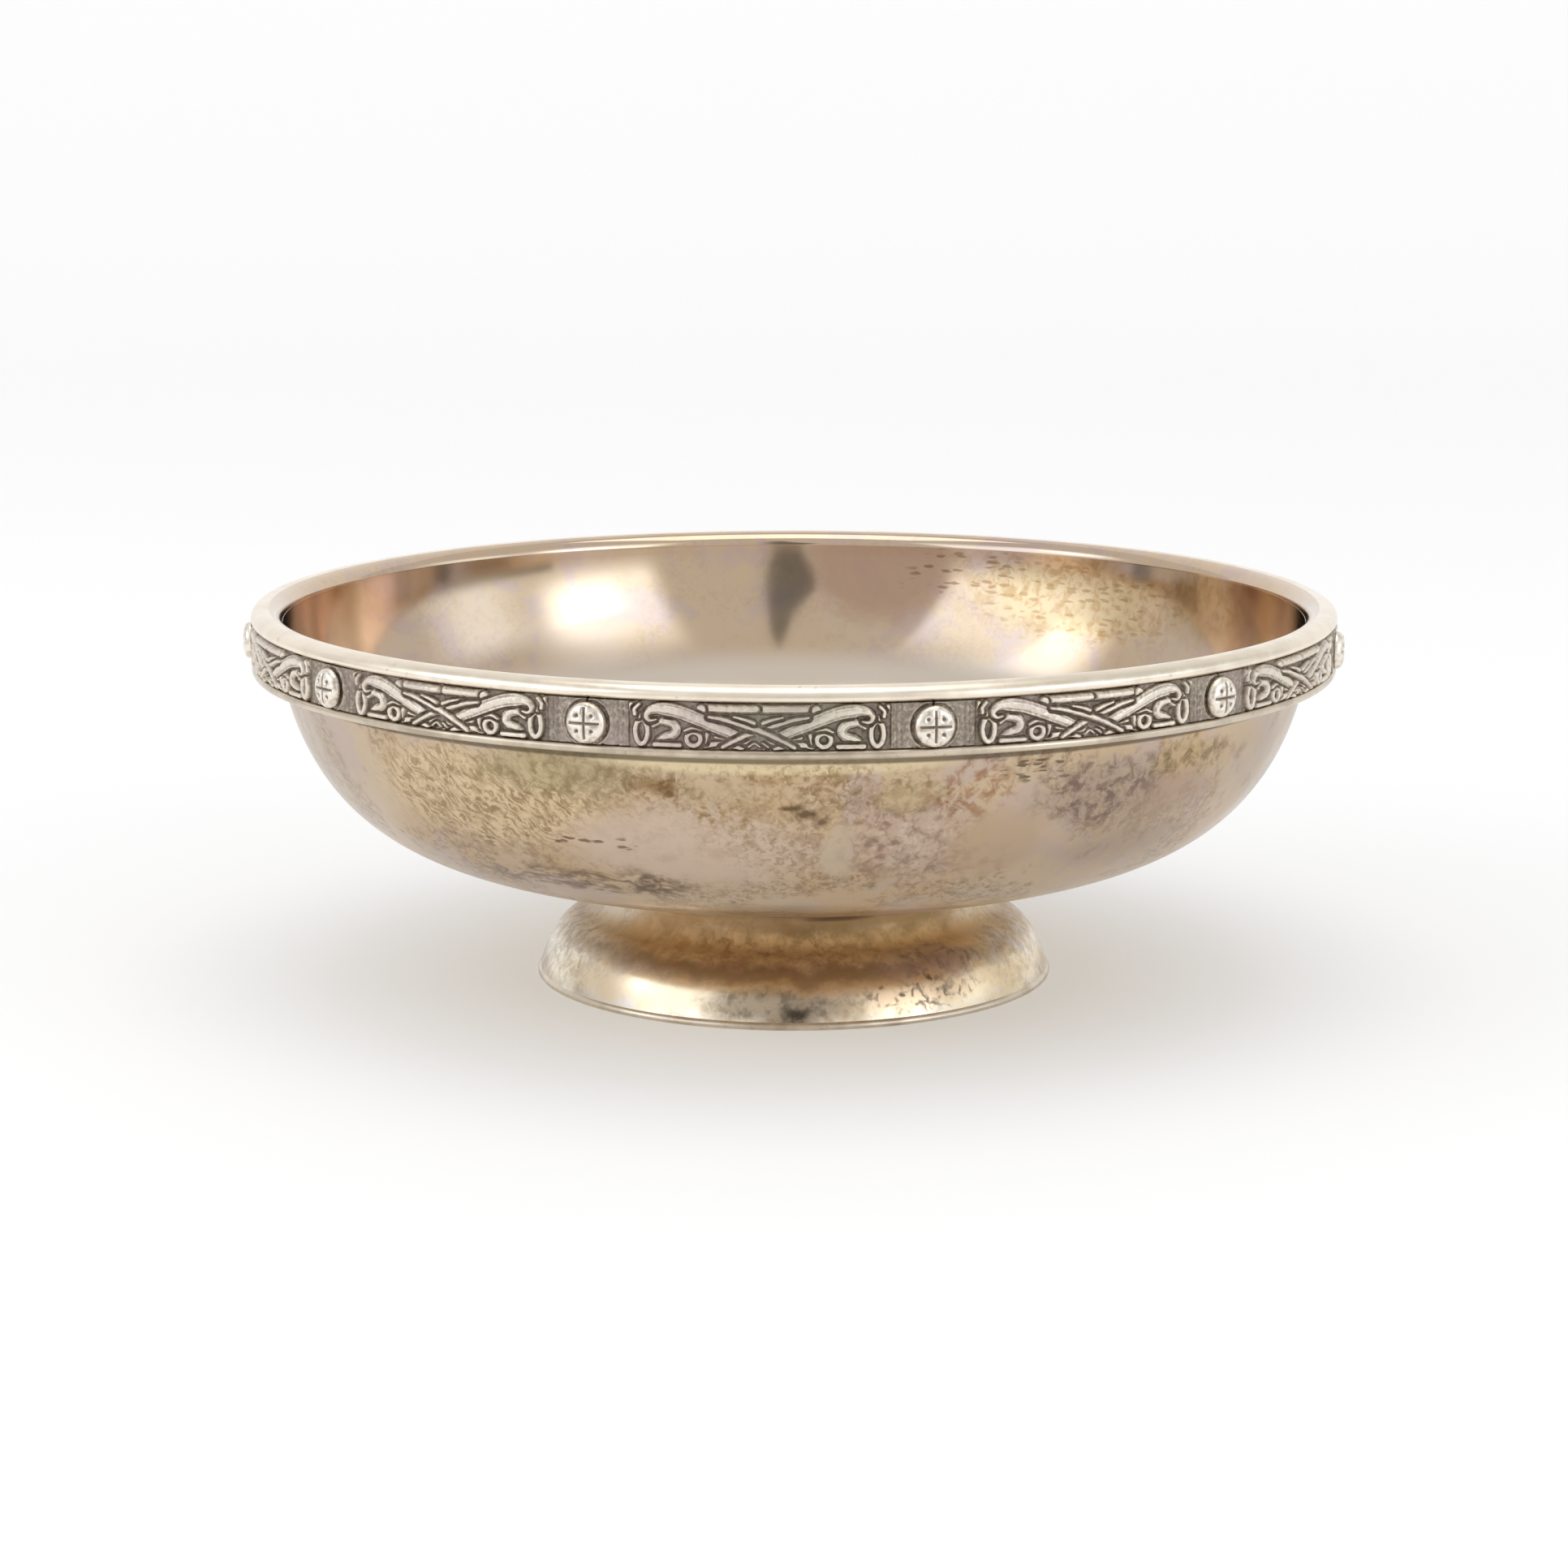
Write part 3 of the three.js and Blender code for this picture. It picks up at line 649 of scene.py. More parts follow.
def runNodes(name, mesh, tree, values):
    carrier = bpy.data.objects.new(name + "Source", mesh)
    bpy.context.scene.collection.objects.link(carrier)
    modifier = carrier.modifiers.new(tree.name, "NODES")
    modifier.node_group = tree
    for key, value in values.items():
        setInput(modifier, key, value)
    bpy.context.view_layer.update()
    settled = carrier.evaluated_get(bpy.context.evaluated_depsgraph_get())
    made = bpy.data.meshes.new_from_object(settled)
    made.name = name
    bpy.data.objects.remove(carrier)
    piece = bpy.data.objects.new(name, made)
    bpy.context.scene.collection.objects.link(piece)
    return piece


def profileMesh(name, points, before=0.0):
    mesh = bpy.data.meshes.new(name + "Profile")
    verts = [(r * mm, 0, z * mm) for r, z in points]
    mesh.from_pydata(verts, [(i, i + 1) for i in range(len(verts) - 1)], [])
    steps = [0.0] + [math.dist(a, b) for a, b in zip(points, points[1:])]
    mark = mesh.attributes.new("run", "FLOAT", "POINT")
    mark.data.foreach_set("value", (np.cumsum(steps) - before).astype(np.float32))
    return mesh


def spinPiece(name, points, material, lining=None, liningStart=1000.0, before=0.0):
    values = {
        "Turns": dish["turns"], "Crease Angle": dish["crease"], "Lining Start": liningStart,
        "Material": material, "Lining Material": lining or material,
    }
    return runNodes(name, profileMesh(name, points, before), spinTree, values)


spinTree = makeSpinTree()


def bowlOutside(height):
    upright = dish["lip"] + dish["uprightAboveLip"]
    drop = (upright - height) / (upright - dish["footHeight"])
    return dish["bowlRadius"] * (1 - drop ** dish["fall"]) ** (1 / dish["swell"])


def bowlLine(steps):
    upright = dish["lip"] + dish["uprightAboveLip"]
    depth = upright - dish["footHeight"]
    end = math.acos((dish["uprightAboveLip"] / depth) ** (dish["fall"] / 2))
    line = [(0, dish["footHeight"])]
    for i in range(1, steps + 1):
        turn = end * (i / steps) ** 1.5  # closer together at the middle
        r = dish["bowlRadius"] * math.sin(turn) ** (2 / dish["swell"])
        z = upright - depth * math.cos(turn) ** (2 / dish["fall"])
        line.append((r, z))
    return line


def offsetLine(line, wall):
    moved = []
    last = len(line) - 1
    for i, (r, z) in enumerate(line):
        before = line[max(i - 1, 0)]
        after = line[min(i + 1, last)]
        dr = after[0] - before[0]
        dz = after[1] - before[1]
        size = math.hypot(dr, dz)
        if r == 0:
            moved.append((0, z + wall))
        elif i in (0, last):
            moved.append((r - wall, z))
        else:
            moved.append((r - wall * dz / size, z + wall * dr / size))
    return moved


# Bowl, rim, foot and border

def makeBowl():
    outside = bowlLine(dish["steps"][0])
    inside = offsetLine(bowlLine(dish["steps"][1]), dish["wall"])
    edge = outside[-1][0]
    lipRound = [(edge, dish["lip"] - dish["lipRound"]), (edge - dish["lipRound"], dish["lip"])]
    points = outside[:-1] + lipRound + inside[::-1]
    lipRun = sum(math.dist(a, b) for a, b in zip(outside, outside[1:]))
    return spinPiece("bowlShell", points, bowlOutsideMetal, bowlInsideMetal, lipRun)


rim = {
    "inner": 69.75,
    "outer": 74.0,
    "crownRadius": 72.2,
    "waist": 50.7,  # height where the outside is widest
    "crown": 52.1,  # top of the dish
    "tuck": 0.8,  # how far the lower edge draws in
    "liningFrom": 71.7,  # the metal of the inside runs up to here
    "steps": 19,  # points in each quarter of the section
}


def makeRim():
    middle = rim["crownRadius"]
    outer = rim["outer"]
    waist = rim["waist"]
    rise = rim["crown"] - waist
    drop = waist - dish["lip"]
    inward = middle - rim["inner"]
    tall = rim["crown"] - dish["lip"]
    quarter = np.linspace(0, math.pi / 2, rim["steps"])
    points = [(outer - rim["tuck"] * (1 - math.sin(t)), waist - drop * math.cos(t)) for t in quarter[::2]]
    points += [(middle + (outer - middle) * math.cos(t), waist + rise * math.sin(t)) for t in quarter[1:]]
    crownAt = len(points)
    points += [(middle - inward * math.sin(t), dish["lip"] + tall * math.cos(t)) for t in quarter[1:]]
    points.append(points[0])
    liningAt = crownAt
    while points[liningAt][0] >= rim["liningFrom"]:
        liningAt += 1
    liningRun = sum(math.dist(a, b) for a, b in zip(points[:liningAt], points[1:liningAt + 1]))
    return spinPiece("rimRing", points, rimMetal, bowlInsideMetal, liningRun - 0.01)


def bezier(start, control, end, steps):
    points = []
    for i in range(steps + 1):
        t = i / steps
        points.append(tuple(
            (1 - t) ** 2 * a + 2 * t * (1 - t) * b + t * t * c
            for a, b, c in zip(start, control, end)))
    return points


foot = {
    "neck": 26.6,
    "neckFrom": 13.5,  # height where the neck turns upright
    "neckBend": 9.6,
    "shoulder": (29.3, 8.7),
    "flareBend": (33.6, 7.4),
    "spread": 35.3,
    "wall": 1.2,
    "wireHeight": 1.0,
    "wireOuter": 35.7,
    "wireInner": 34.0,
    "wireEdge": [(0.3, 0), (0.1, 0.08), (0, 0.3), (0.03, 0.5), (0.13, 0.75)],  # in from outside, up
}


def makeFoot():
    neck = foot["neck"]
    outside = bezier((foot["spread"], foot["wireHeight"]), foot["flareBend"], foot["shoulder"], 24)
    outside += bezier(foot["shoulder"], (neck, foot["neckBend"]), (neck, foot["neckFrom"]), 20)[1:]
    outside.append((neck, dish["footHeight"]))
    inside = offsetLine(outside, foot["wall"])
    points = inside[:1] + outside + inside[::-1]
    return spinPiece("footShell", points, footMetal, before=foot["wall"])


def makeFootWire():
    outer = foot["wireOuter"]
    inner = foot["wireInner"]
    height = foot["wireHeight"]
    edge = [(outer - inward, up) for inward, up in foot["wireEdge"]]
    points = [(inner, 0), *edge, (foot["spread"], height), (inner, height), (inner, 0)]
    return spinPiece("footRing", points, footWireMetal)


border = {
    "play": 0.3,  # from the bowl
    "proud": 0.7,  # past the ground of the band
    "height": 1.0,
    "round": 0.4,
}


def makeBorder():
    inner = bowlOutside(band["bottom"]) + border["play"]
    middle = band["ground"] + border["proud"] - border["round"]
    low = band["bottom"] - border["height"]
    half = border["height"] / 2
    points = [(inner, low), (middle, low)]
    for turn in np.linspace(-math.pi / 2, math.pi / 2, 13):
        points.append((middle + border["round"] * math.cos(turn), low + half + half * math.sin(turn)))
    points += [(inner, band["bottom"]), (inner, low)]
    return spinPiece("borderRing", points, borderMetal)


bowl = makeBowl()
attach(bowl, "root")
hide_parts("bowl")
rimRing = makeRim()
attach(rimRing, "root")
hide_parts("rim_wire")
footShell = makeFoot()
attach(footShell, "root")
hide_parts("foot")
footRing = makeFootWire()
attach(footRing, "root")
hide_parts("foot_wire")
borderRing = makeBorder()
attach(borderRing, "root")
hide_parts("border_wire")
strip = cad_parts["band_strip"]
strip.data.materials.clear()
strip.data.materials.append(stripMetal)
print("turned pieces made")

# Ornament: one height field for the interlace, bent round the band eleven times

interlace = {
    "grid": 0.08,  # mm between points
    "halfField": 15.7,
    "blockHeight": 0.35,
    "relief": 0.75,
    "edge": 0.3,  # how far a ribbon's shoulder slopes
    "engraved": 0.26,  # depth of the lines along a ribbon
    "moat": 0.16,  # ground left free beside a ribbon that passes over
    "domed": 0.3,  # share of the relief that is rounded
    "lineAt": 0.55,  # the engraved lines, from a ribbon's middle to its edge
    "lineWidth": 0.09,
    "spacing": 0.06,  # mm between points along a ribbon
    "back": -0.4,
    "blockShine": 0.55,  # how rubbed the end blocks are
    "blockRing": (3.0, 0.25),  # raised ring round a roundel: radius and height
    "blockCuts": (15.98, 16.42, 17.05),  # upright lines in the end blocks, from the middle
    "blockCutDepth": 0.14,
    "grit": 0.05,  # height of the casting's grain
    "seed": 11,
}

# Each strand is its left half in mm from the middle of the panel; the right half is its mirror image
strands = [
    {"line": [(-6.4, -2.2), (-4.3, -1.95), (-2.0, -2.3)], "width": (1.0, 1.2)},
    {"line": [(-5.1, -1.15), (-4.0, -1.25), (-3.0, -1.7)], "width": (0.8, 1.0)},
    {"line": [(-6.4, -1.8), (-6.1, -0.8), (-6.0, 0.1), (-6.3, 0.9)], "width": (1.05, 1.1), "lined": True},
    {"oval": (-7.75, -1.45, 0.85, 0.8), "width": (0.98, 0.98)},
    {"line": [(-8.9, -0.5), (-7.8, -0.1), (-6.8, -0.2)], "width": (0.7, 0.9)},
    {"line": [(-12.7, 0.0), (-11.8, 0.55), (-10.5, 0.4), (-9.85, -0.35), (-10.2, -1.0), (-11.2, -1.3),
              (-11.95, -1.75), (-11.8, -2.3)], "width": (1.1, 1.5, 1.45, 1.2), "lined": True},
    {"line": [(-12.5, -2.25), (-9.4, -2.25)], "width": (1.0, 0.95)},
    {"oval": (-14.1, -0.75, 0.76, 1.5), "width": (1.0, 1.0)},
    {"line": [(-15.4, 2.4), (-15.2, 1.7), (-14.75, 1.2), (-14.1, 1.1), (-13.6, 1.45)],
     "width": (1.05, 0.95)},
    {"line": [(-14.4, 2.5), (-14.95, 1.9), (-14.9, 1.3)], "width": (0.8, 0.9)},
    {"line": [(-6.5, 2.24), (-3.4, 2.2), (-0.3, 2.2)], "width": (1.35, 1.35), "lined": True},
    {"oval": (-6.85, 2.1, 0.3, 0.3), "width": (1.0, 1.0)},
    {"line": [(-12.3, 0.75), (-13.1, 0.62), (-13.55, 1.15), (-13.1, 1.75), (-12.3, 2.02), (-11.1, 2.02),
              (-9.4, 1.72), (-7.2, 0.95), (-5.1, 0.05), (-3.3, -0.72), (-1.3, -1.68), (0.5, -2.4)],
     "width": (0.7, 1.95, 1.95, 1.6, 1.2), "lined": True},
    {"line": [(-5.9, 1.25), (-4.2, 0.98), (-2.3, 0.45), (-0.8, -0.02), (0.6, -0.52), (2.4, -1.35),
              (4.3, -2.35)], "width": (0.9, 1.2, 1.2, 1.0), "lined": True},
    {"line": [(-2.9, 1.3), (-1.6, 1.0), (-0.5, 0.6)], "width": (0.7, 0.9)},
    {"line": [(-1.2, -2.3), (-0.5, -1.85), (0.2, -2.3)], "width": (0.65, 0.65)},
]


def smoothLine(knots):
    knots = np.array(knots, float)
    padded = np.vstack([2 * knots[0] - knots[1], knots, 2 * knots[-1] - knots[-2]])
    points = []
    for i in range(len(knots) - 1):
        a, b, c, d = padded[i:i + 4]
        count = max(2, int(np.hypot(*(c - b)) / interlace["spacing"]))
        t = np.linspace(0, 1, count, endpoint=False)[:, None]
        points.append(0.5 * (2 * b + (c - a) * t + (2 * a - 5 * b + 4 * c - d) * t ** 2
                             + (3 * b - a - 3 * c + d) * t ** 3))
    points.append(knots[-1:])
    return np.vstack(points)


def ovalLine(along, up, halfWidth, halfHeight):
    turn = np.linspace(0, 2 * math.pi, 72)
    return np.stack([along + halfWidth * np.cos(turn), up + halfHeight * np.sin(turn)], 1)


def smoothStep(value):
    share = np.clip(value, 0, 1)
    return share * share * (3 - 2 * share)


def blur(field, sigma):
    reach = int(3 * sigma) + 1
    weights = np.exp(-0.5 * (np.arange(-reach, reach + 1) / sigma) ** 2)
    weights /= weights.sum()
    padded = np.pad(field, reach, mode="edge")
    padded = np.apply_along_axis(lambda row: np.convolve(row, weights, "valid"), 0, padded)
    return np.apply_along_axis(lambda row: np.convolve(row, weights, "valid"), 1, padded)


def nearestOnLine(points, along, up):
    distance = np.full(along.shape, 1e9)
    share = np.zeros(along.shape)
    count = len(points) - 1
    for i in range(len(points)):
        away = np.hypot(along - points[i, 0], up - points[i, 1])
        closer = away < distance
        distance[closer] = away[closer]
        share[closer] = i / count
    return distance, share


def paintStrand(height, strand, side, along, up):
    points = ovalLine(*strand["oval"]) if "oval" in strand else smoothLine(strand["line"])
    points = points * (side, 1)
    distance, share = nearestOnLine(points, along, up)
    widths = strand["width"]
    half = np.interp(share, np.linspace(0, 1, len(widths)), widths) / 2
    beside = smoothStep((distance - half) / interlace["moat"])
    inside = smoothStep((half - distance) / interlace["edge"])
    dome = np.sqrt(np.clip(1 - (distance / half) ** 2, 0, 1))
    crown = interlace["relief"] * (1 - interlace["domed"] + interlace["domed"] * dome)
    if strand.get("lined"):
        line = np.exp(-((distance - interlace["lineAt"] * half) / interlace["lineWidth"]) ** 2)
        crown = crown - interlace["engraved"] * line
    kept = height * np.where(distance < half + interlace["moat"], beside, 1)
    return np.maximum(kept, crown * inside)


def blockField(along, up):
    middle = math.pi * band["ground"] / band["repeats"]
    fromEnd = np.abs(along)
    block = interlace["blockHeight"] * smoothStep((fromEnd - interlace["halfField"]) / 0.12)
    ringRadius, ringHeight = interlace["blockRing"]
    ring = np.hypot(middle - fromEnd, up)
    block += ringHeight * np.exp(-((ring - ringRadius) / 0.17) ** 2) * (fromEnd > interlace["halfField"])
    for line in interlace["blockCuts"]:
        cut = np.exp(-((fromEnd - line) / 0.07) ** 2) * (ring > ringRadius + 0.3)
        block -= interlace["blockCutDepth"] * cut
    return block


def makeInterlaceField():
    half = math.pi * band["ground"] / band["repeats"] - band["jointGap"] / 2
    low = band["panelLow"]
    high = band["panelHigh"]
    columns = int(2 * half / interlace["grid"]) + 1
    rows = int((high - low) / interlace["grid"]) + 1
    along, up = np.meshgrid(np.linspace(-half, half, columns), np.linspace(low, high, rows))
    height = np.zeros(along.shape)
    for strand in strands:
        for side in (-1, 1):
            height = paintStrand(height, strand, side, along, up)
    height = np.where(np.abs(along) < interlace["halfField"] - 0.1, height, 0)
    height = np.maximum(height, blockField(along, up))
    chance = np.random.default_rng(interlace["seed"])
    grit = blur(chance.normal(0, 1, along.shape), 1.6)
    height += interlace["grit"] * grit / grit.std() * (1 - 0.5 * height / interlace["relief"])
    edge = smoothStep((up - low) / 0.12) * smoothStep((high - up) / 0.06)
    height = blur(height, 0.7) * edge  # softened as by the casting
    hollows = np.clip((blur(height, 5) - height) / 0.35, 0, 1)  # between the ribbons
    cuts = np.clip((blur(height, 2) - height) / 0.09, 0, 1)  # the engraved lines
    return along, up, height, np.maximum(hollows, cuts)


def meshFromArrays(name, verts, faces):
    mesh = bpy.data.meshes.new(name)
    mesh.vertices.add(len(verts))
    mesh.vertices.foreach_set("co", np.ascontiguousarray(verts, np.float32).ravel())
    mesh.loops.add(faces.size)
    mesh.loops.foreach_set("vertex_index", faces.astype(np.int32).ravel())
    mesh.polygons.add(len(faces))
    mesh.polygons.foreach_set("loop_start", np.arange(0, faces.size, faces.shape[1], dtype=np.int32))
    mesh.update(calc_edges=True)
    mesh.validate()
    return mesh


def storeValues(mesh, name, values):
    layer = mesh.attributes.new(name, "FLOAT", "POINT")
    layer.data.foreach_set("value", np.ascontiguousarray(values, np.float32).ravel())


def finishPiece(piece, nodeName):
    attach(piece, "root")
    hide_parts(nodeName)


def bendRound(along, up, out, turn):
    angle = along / band["ground"] + turn
    radius = band["ground"] + out
    middle = band["bottom"] - band["panelLow"]
    return np.stack([radius * np.sin(angle), -radius * np.cos(angle), middle + up], -1) * mm


def makePanel(number, turn, field):
    along, up, height, cavity = field
    rows, columns = along.shape
    front = bendRound(along, up, height, turn).reshape(-1, 3)
    backRows = np.array([0, rows - 1])
    back = bendRound(along[backRows], up[backRows], interlace["back"], turn).reshape(-1, 3)
    index = np.arange(rows * columns).reshape(rows, columns)
    behind = rows * columns + np.arange(2 * columns).reshape(2, columns)
    quads = [np.stack([index[:-1, :-1], index[:-1, 1:], index[1:, 1:], index[1:, :-1]], -1).reshape(-1, 4)]
    quads.append(np.stack([behind[0, :-1], behind[1, :-1], behind[1, 1:], behind[0, 1:]], -1))
    quads.append(np.stack([index[0, :-1], behind[0, :-1], behind[0, 1:], index[0, 1:]], -1))
    quads.append(np.stack([index[-1, 1:], behind[1, 1:], behind[1, :-1], index[-1, :-1]], -1))
    verts = np.vstack([front, back])
    mesh = meshFromArrays(f"panel{number:02d}", verts, np.vstack(quads))
    work = bmesh.new()
    work.from_mesh(mesh)
    loose = [edge for edge in work.edges if edge.is_boundary]
    bmesh.ops.holes_fill(work, edges=loose, sides=0)
    bmesh.ops.recalc_face_normals(work, faces=[face for face in work.faces if len(face.verts) > 4])
    work.to_mesh(mesh)
    work.free()
    mesh.shade_smooth()
    shine = np.where(np.abs(along) > interlace["halfField"], interlace["blockShine"], 1)
    worn = height / interlace["relief"] * shine
    storeValues(mesh, "relief", np.concatenate([worn.ravel(), np.zeros(2 * columns)]))
    storeValues(mesh, "cavity", np.concatenate([cavity.ravel(), np.zeros(2 * columns)]))
    mesh.materials.append(ornamentMetal)
    piece = bpy.data.objects.new(mesh.name, mesh)
    bpy.context.scene.collection.objects.link(piece)
    finishPiece(piece, f"interlace_panel_{number:02d}")


roundel = {
    "radius": 2.55,
    "back": 0.65,
    "shoulder": 0.8,
    "rise": 1.88,
    "flatness": 3.4,
    "groove": 0.42,  # width of the cross
    "grooveDepth": 0.26,
    "grooveReach": 0.82,  # share of the radius
    "dotOut": 0.95,  # of the dots, along and up
    "dotSize": 0.3,
    "dotDepth": 0.3,
    "rings": 34,
    "turns": 96,
}


def domeHeight(across, up):
    reach = np.hypot(across, up) / roundel["radius"]
    rise = roundel["rise"] - roundel["shoulder"]
    return roundel["shoulder"] + rise * np.clip(1 - reach ** roundel["flatness"], 0, 1) ** 0.5


def roundelHeight(across, up):
    reach = np.hypot(across, up) / roundel["radius"]
    nearest = np.minimum(np.abs(across), np.abs(up))
    groove = roundel["grooveDepth"] * np.exp(-(nearest / (roundel["groove"] / 2)) ** 2)
    groove = groove * smoothStep((roundel["grooveReach"] - reach) / 0.08)
    spot = np.hypot(np.abs(across) - roundel["dotOut"], np.abs(up) - roundel["dotOut"])
    dots = roundel["dotDepth"] * np.exp(-(spot / roundel["dotSize"]) ** 2)
    return domeHeight(across, up) - np.maximum(groove, dots)


def makeRoundel(number, turn):
    radii = roundel["radius"] * np.linspace(0, 1, roundel["rings"]) ** 0.8
    angles = np.linspace(0, 2 * math.pi, roundel["turns"], endpoint=False)
    radius, angle = np.meshgrid(radii[1:], angles, indexing="ij")
    across = radius * np.cos(angle)
    up = radius * np.sin(angle)
    height = roundelHeight(across, up)
    across = np.concatenate([[0], across.ravel(), across[-1], [0]])
    up = np.concatenate([[0], up.ravel(), up[-1], [0]])
    top = roundelHeight(np.zeros(1), np.zeros(1))
    low = np.full(roundel["turns"] + 1, roundel["back"])
    out = np.concatenate([top, height.ravel(), low])
    place = np.array([math.sin(turn), -math.cos(turn), 0])
    side = np.array([math.cos(turn), math.sin(turn), 0])
    middle = band["bottom"] - band["panelLow"]
    verts = (band["ground"] + out)[:, None] * place + across[:, None] * side
    verts[:, 2] += middle + up
    count = roundel["turns"]
    rings = roundel["rings"]
    loop = np.arange(count)
    after = (loop + 1) % count
    faces = []
    for i in range(rings - 1):
        a = 1 + i * count
        b = a + count
        faces.append(np.stack([a + loop, b + loop, b + after, a + after], -1))
    cap = np.stack([np.zeros(count, int), 1 + loop, 1 + after], -1)
    last = 1 + (rings - 1) * count
    base = np.stack([np.full(count, last + count), last + after, last + loop], -1)
    work = bmesh.new()
    corners = [work.verts.new(corner) for corner in (verts * mm).tolist()]
    work.verts.ensure_lookup_table()
    for face in [face for part in faces + [cap, base] for face in part]:
        work.faces.new([corners[i] for i in face])
    bmesh.ops.recalc_face_normals(work, faces=work.faces)
    mesh = bpy.data.meshes.new(f"boss{number:02d}")
    work.to_mesh(mesh)
    work.free()
    mesh.shade_smooth()
    cut = np.clip((domeHeight(across, up) - out) / roundel["dotDepth"], 0, 1)
    storeValues(mesh, "cavity", cut * (out > roundel["back"] + 0.01))
    mesh.materials.append(roundelMetal)
    piece = bpy.data.objects.new(mesh.name, mesh)
    bpy.context.scene.collection.objects.link(piece)
    finishPiece(piece, f"roundel_{number:02d}")


interlaceField = makeInterlaceField()
repeat = 2 * math.pi / band["repeats"]
start = math.radians(band["firstRoundel"])
for i in range(band["repeats"]):
    makePanel(i + 1, start + (i + 0.5) * repeat, interlaceField)
    makeRoundel(i + 1, start + i * repeat)
print("ornament made")

# Stage and light

studio = {
    "world": 0.76,
    "boxLight": 2.2,  # what the softboxes give the paper
    "topStrength": 1.3,
    "paperFill": 0.33,  # light that fills the shadows
    "paperLift": 0.12,  # extra light on the paper away from the dish
    "underDish": (0.31, 0.295, 0.265, 1),  # the fill under the dish, warm from the metal
    "cardTone": 0.19,
    "glowColor": (0.85, 0.94, 1.05, 1),
    "aim": 0.03,  # height that lights and cards face
}

sweep = {
    "half": 3.0,  # to each side and to the front
    "bendFrom": 1.2,  # the paper starts to rise here
    "bendRadius": 0.8,
    "top": 3.0,
    "bendSteps": 16,
}


def addItem(name, data):
    item = bpy.data.objects.new(name, data)
    bpy.context.scene.collection.objects.link(item)
    return item


def paperMaterial():
    paper = bpy.data.materials.new("paper")
    paper.use_nodes = True
    tree = paper.node_tree
    shader = tree.nodes["Principled BSDF"]
    shader.inputs["Base Color"].default_value = (0.6, 0.6, 0.6, 1)
    shader.inputs["Roughness"].default_value = 0.9
    shader.inputs["Specular IOR Level"].default_value = 0.1
    shader.inputs["Emission Strength"].default_value = 1.0
    place = addNode(tree, "ShaderNodeTexCoord")
    far = addNode(tree, "ShaderNodeVectorMath", {0: place.outputs["Object"]}, operation="LENGTH")
    whole = studio["paperFill"] + studio["paperLift"]
    lift = ramp(tree, far.outputs["Value"], 0.3, 2.2, studio["paperFill"], whole)
    color = addNode(tree, "ShaderNodeCombineColor", {0: lift, 1: lift, 2: lift})
    clear = ramp(tree, far.outputs["Value"], 0.03, 0.075)
    color = blend(tree, clear, studio["underDish"], color.outputs[0])
    join(tree, color, shader.inputs["Emission Color"])
    return paper


def makeStage():
    mesh = bpy.data.meshes.new("sweep")
    half = sweep["half"]
    bend = sweep["bendFrom"]
    radius = sweep["bendRadius"]
    rows = [(-half, 0.0), (bend, 0.0)]
    for i in range(1, sweep["bendSteps"] + 1):
        turn = math.pi / 2 * i / sweep["bendSteps"]
        rows.append((bend + radius * math.sin(turn), radius - radius * math.cos(turn)))
    rows.append((bend + radius, sweep["top"]))
    verts = []
    for y, z in rows:
        verts += [(-half, y, z), (half, y, z)]
    faces = [(2 * i, 2 * i + 1, 2 * i + 3, 2 * i + 2) for i in range(len(rows) - 1)]
    mesh.from_pydata(verts, [], faces)
    mesh.shade_smooth()
    mesh.materials.append(paperMaterial())
    addItem("sweep", mesh)


def polar(azimuth, elevation, distance):
    around = math.radians(azimuth)
    up = math.radians(elevation)
    flat = distance * math.cos(up)
    return (flat * math.sin(around), -flat * math.cos(around), distance * math.sin(up) + studio["aim"])


def turnToDish(item):
    x, y, z = item.location
    flat = math.hypot(x, y)
    item.rotation_euler = (math.pi / 2 - math.atan2(z - studio["aim"], flat), 0, math.atan2(x, -y))


def softBox(name, azimuth, elevation, distance, width, height, strength):
    data = bpy.data.lights.new(name, "AREA")
    data.shape = "RECTANGLE"
    data.size = width
    data.size_y = height
    data.energy = strength * math.pi * width * height
    item = addItem(name, data)
    item.location = polar(azimuth, elevation, distance)
    turnToDish(item)
    item.visible_glossy = name == "topBox"


def cardCloth(name):
    cloth = bpy.data.materials.new(name)
    cloth.use_nodes = True
    shader = cloth.node_tree.nodes["Principled BSDF"]
    tone = studio["cardTone"]
    shader.inputs["Base Color"].default_value = (tone, tone, tone, 1)
    shader.inputs["Roughness"].default_value = 1
    return cloth


def glowCloth(name, strength, soft):
    cloth = cardCloth(name)
    tree = cloth.node_tree
    shader = tree.nodes["Principled BSDF"]
    place = addNode(tree, "ShaderNodeTexCoord")
    split = addNode(tree, "ShaderNodeSeparateXYZ", {0: place.outputs["Object"]})
    share = 1.0
    for axis, low, high in (("X", soft[0], soft[1]), ("Y", soft[2], soft[3])):
        rise = ramp(tree, split.outputs[axis], -1.0, low - 1.0)
        drop = ramp(tree, split.outputs[axis], 1.0 - high, 1.0, 1.0, 0.0)
        share = mathNode(tree, "MULTIPLY", mathNode(tree, "MULTIPLY", rise, drop), share)
    shader.inputs["Emission Color"].default_value = studio["glowColor"]
    shader.inputs["Emission Strength"].default_value = strength
    join(tree, share, shader.inputs["Alpha"])
    return cloth


def addCard(name, corners, cloth, azimuth, elevation, distance, scale=(1, 1, 1)):
    mesh = bpy.data.meshes.new(name)
    mesh.from_pydata([(x, y, 0) for x, y in corners], [], [tuple(range(len(corners)))])
    mesh.materials.append(cloth)
    card = addItem(name, mesh)
    card.location = polar(azimuth, elevation, distance)
    card.scale = scale
    turnToDish(card)
    card.visible_camera = False
    card.visible_diffuse = False
    card.visible_shadow = False


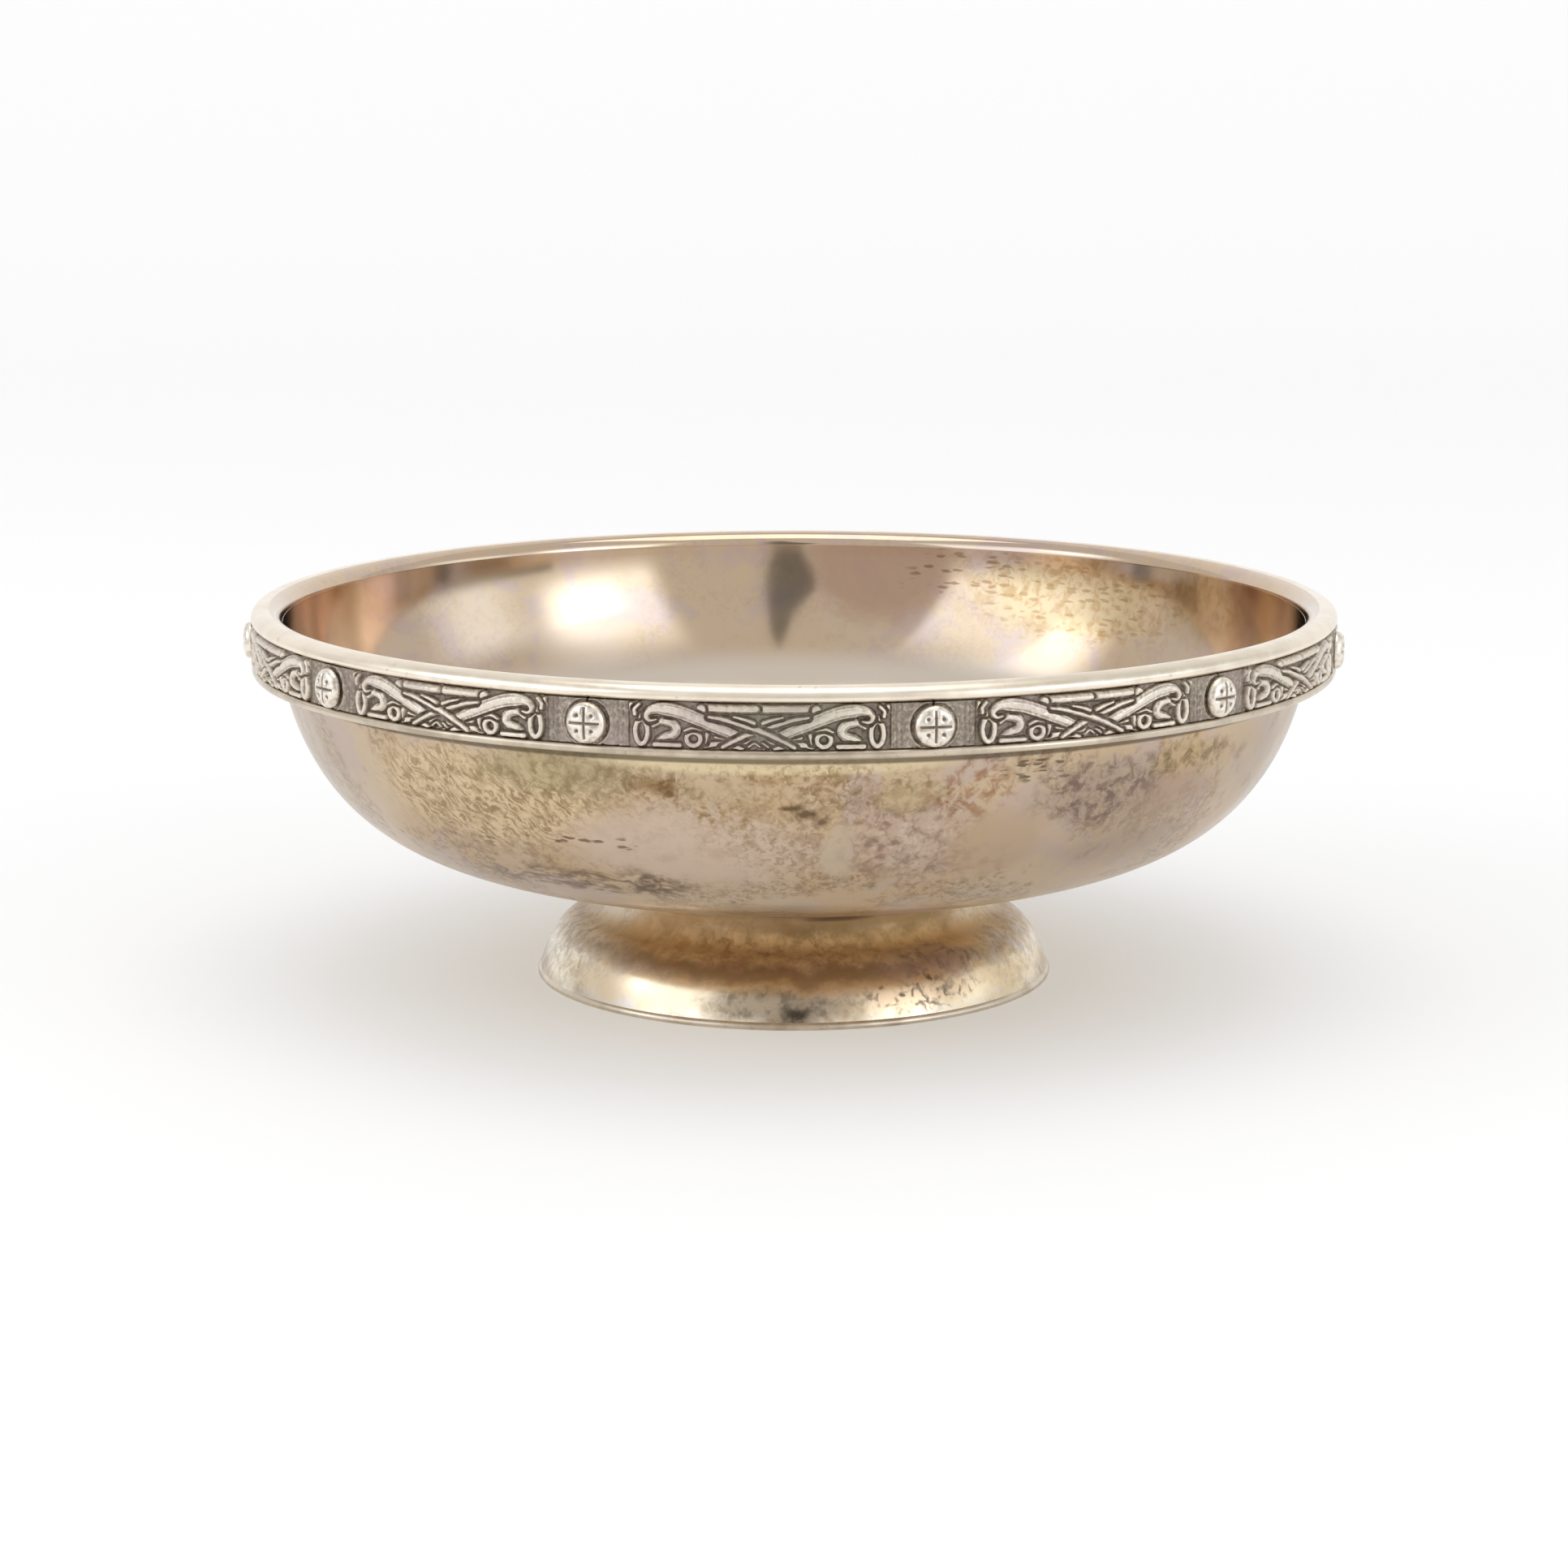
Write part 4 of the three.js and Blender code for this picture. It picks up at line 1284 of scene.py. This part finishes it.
def darkCard(name, azimuth, elevation, distance, width, height):
    w = width / 2
    h = height / 2
    addCard(name, [(-w, -h), (w, -h), (w, h), (-w, h)], cardCloth(name), azimuth, elevation, distance)


def glowCard(name, azimuth, elevation, width, height, strength, soft):
    cloth = glowCloth(name, strength, soft)
    scale = (width / 2, height / 2, 1)
    addCard(name, [(-1, -1), (1, -1), (1, 1), (-1, 1)], cloth, azimuth, elevation, 1.0, scale)


def makeLight():
    world = bpy.data.worlds.new("studio")
    bpy.context.scene.world = world
    world.use_nodes = True
    background = world.node_tree.nodes["Background"]
    background.inputs["Color"].default_value = (1, 1, 1, 1)
    background.inputs["Strength"].default_value = studio["world"]
    softBox("rightBox", 54, 19, 1.1, 0.85, 0.55, studio["boxLight"])
    softBox("leftBox", -70, 21, 1.1, 0.95, 0.6, studio["boxLight"])
    softBox("topBox", 0, 89, 1.3, 0.95, 0.95, studio["topStrength"])
    # The last four numbers say how softly a glow fades: lower azimuth, higher azimuth, bottom, top
    glowCard("rightGlow", 54, 25, 0.84, 0.86, 1.9, (0.35, 1.1, 0.4, 1.2))
    glowCard("rightCore", 55, 20, 0.5, 0.5, 3.0, (0.7, 0.9, 0.6, 1.0))
    glowCard("rightWing", 86, 17, 0.8, 0.5, 1.3, (0.9, 0.9, 0.3, 0.9))
    glowCard("leftGlow", -65, 28, 1.04, 0.95, 1.6, (1.0, 0.12, 0.4, 1.1))
    glowCard("leftCore", -73, 30, 0.68, 0.62, 2.5, (0.9, 1.1, 0.7, 1.0))
    stand = [(-0.033, -0.19), (0.085, -0.19), (0.108, -0.06), (0.11, 0.04), (0.1, 0.2), (0.09, 0.38),
             (0.06, 0.56), (0.03, 0.38), (0.0, 0.2), (-0.05, 0.1), (-0.091, 0.03), (-0.08, -0.08)]
    addCard("cameraStand", stand, cardCloth("cameraStand"), 0, 14, 0.95)
    darkCard("rightRoom", 80, 3.3, 1.4, 0.95, 0.052)
    darkCard("leftRoom", -98, 1.6, 1.4, 0.9, 0.05)
    view = bpy.context.scene.view_settings
    view.view_transform = "Standard"
    view.look = "None"
    view.exposure = 0
    view.gamma = 1


makeStage()
makeLight()
print("stage and light set")
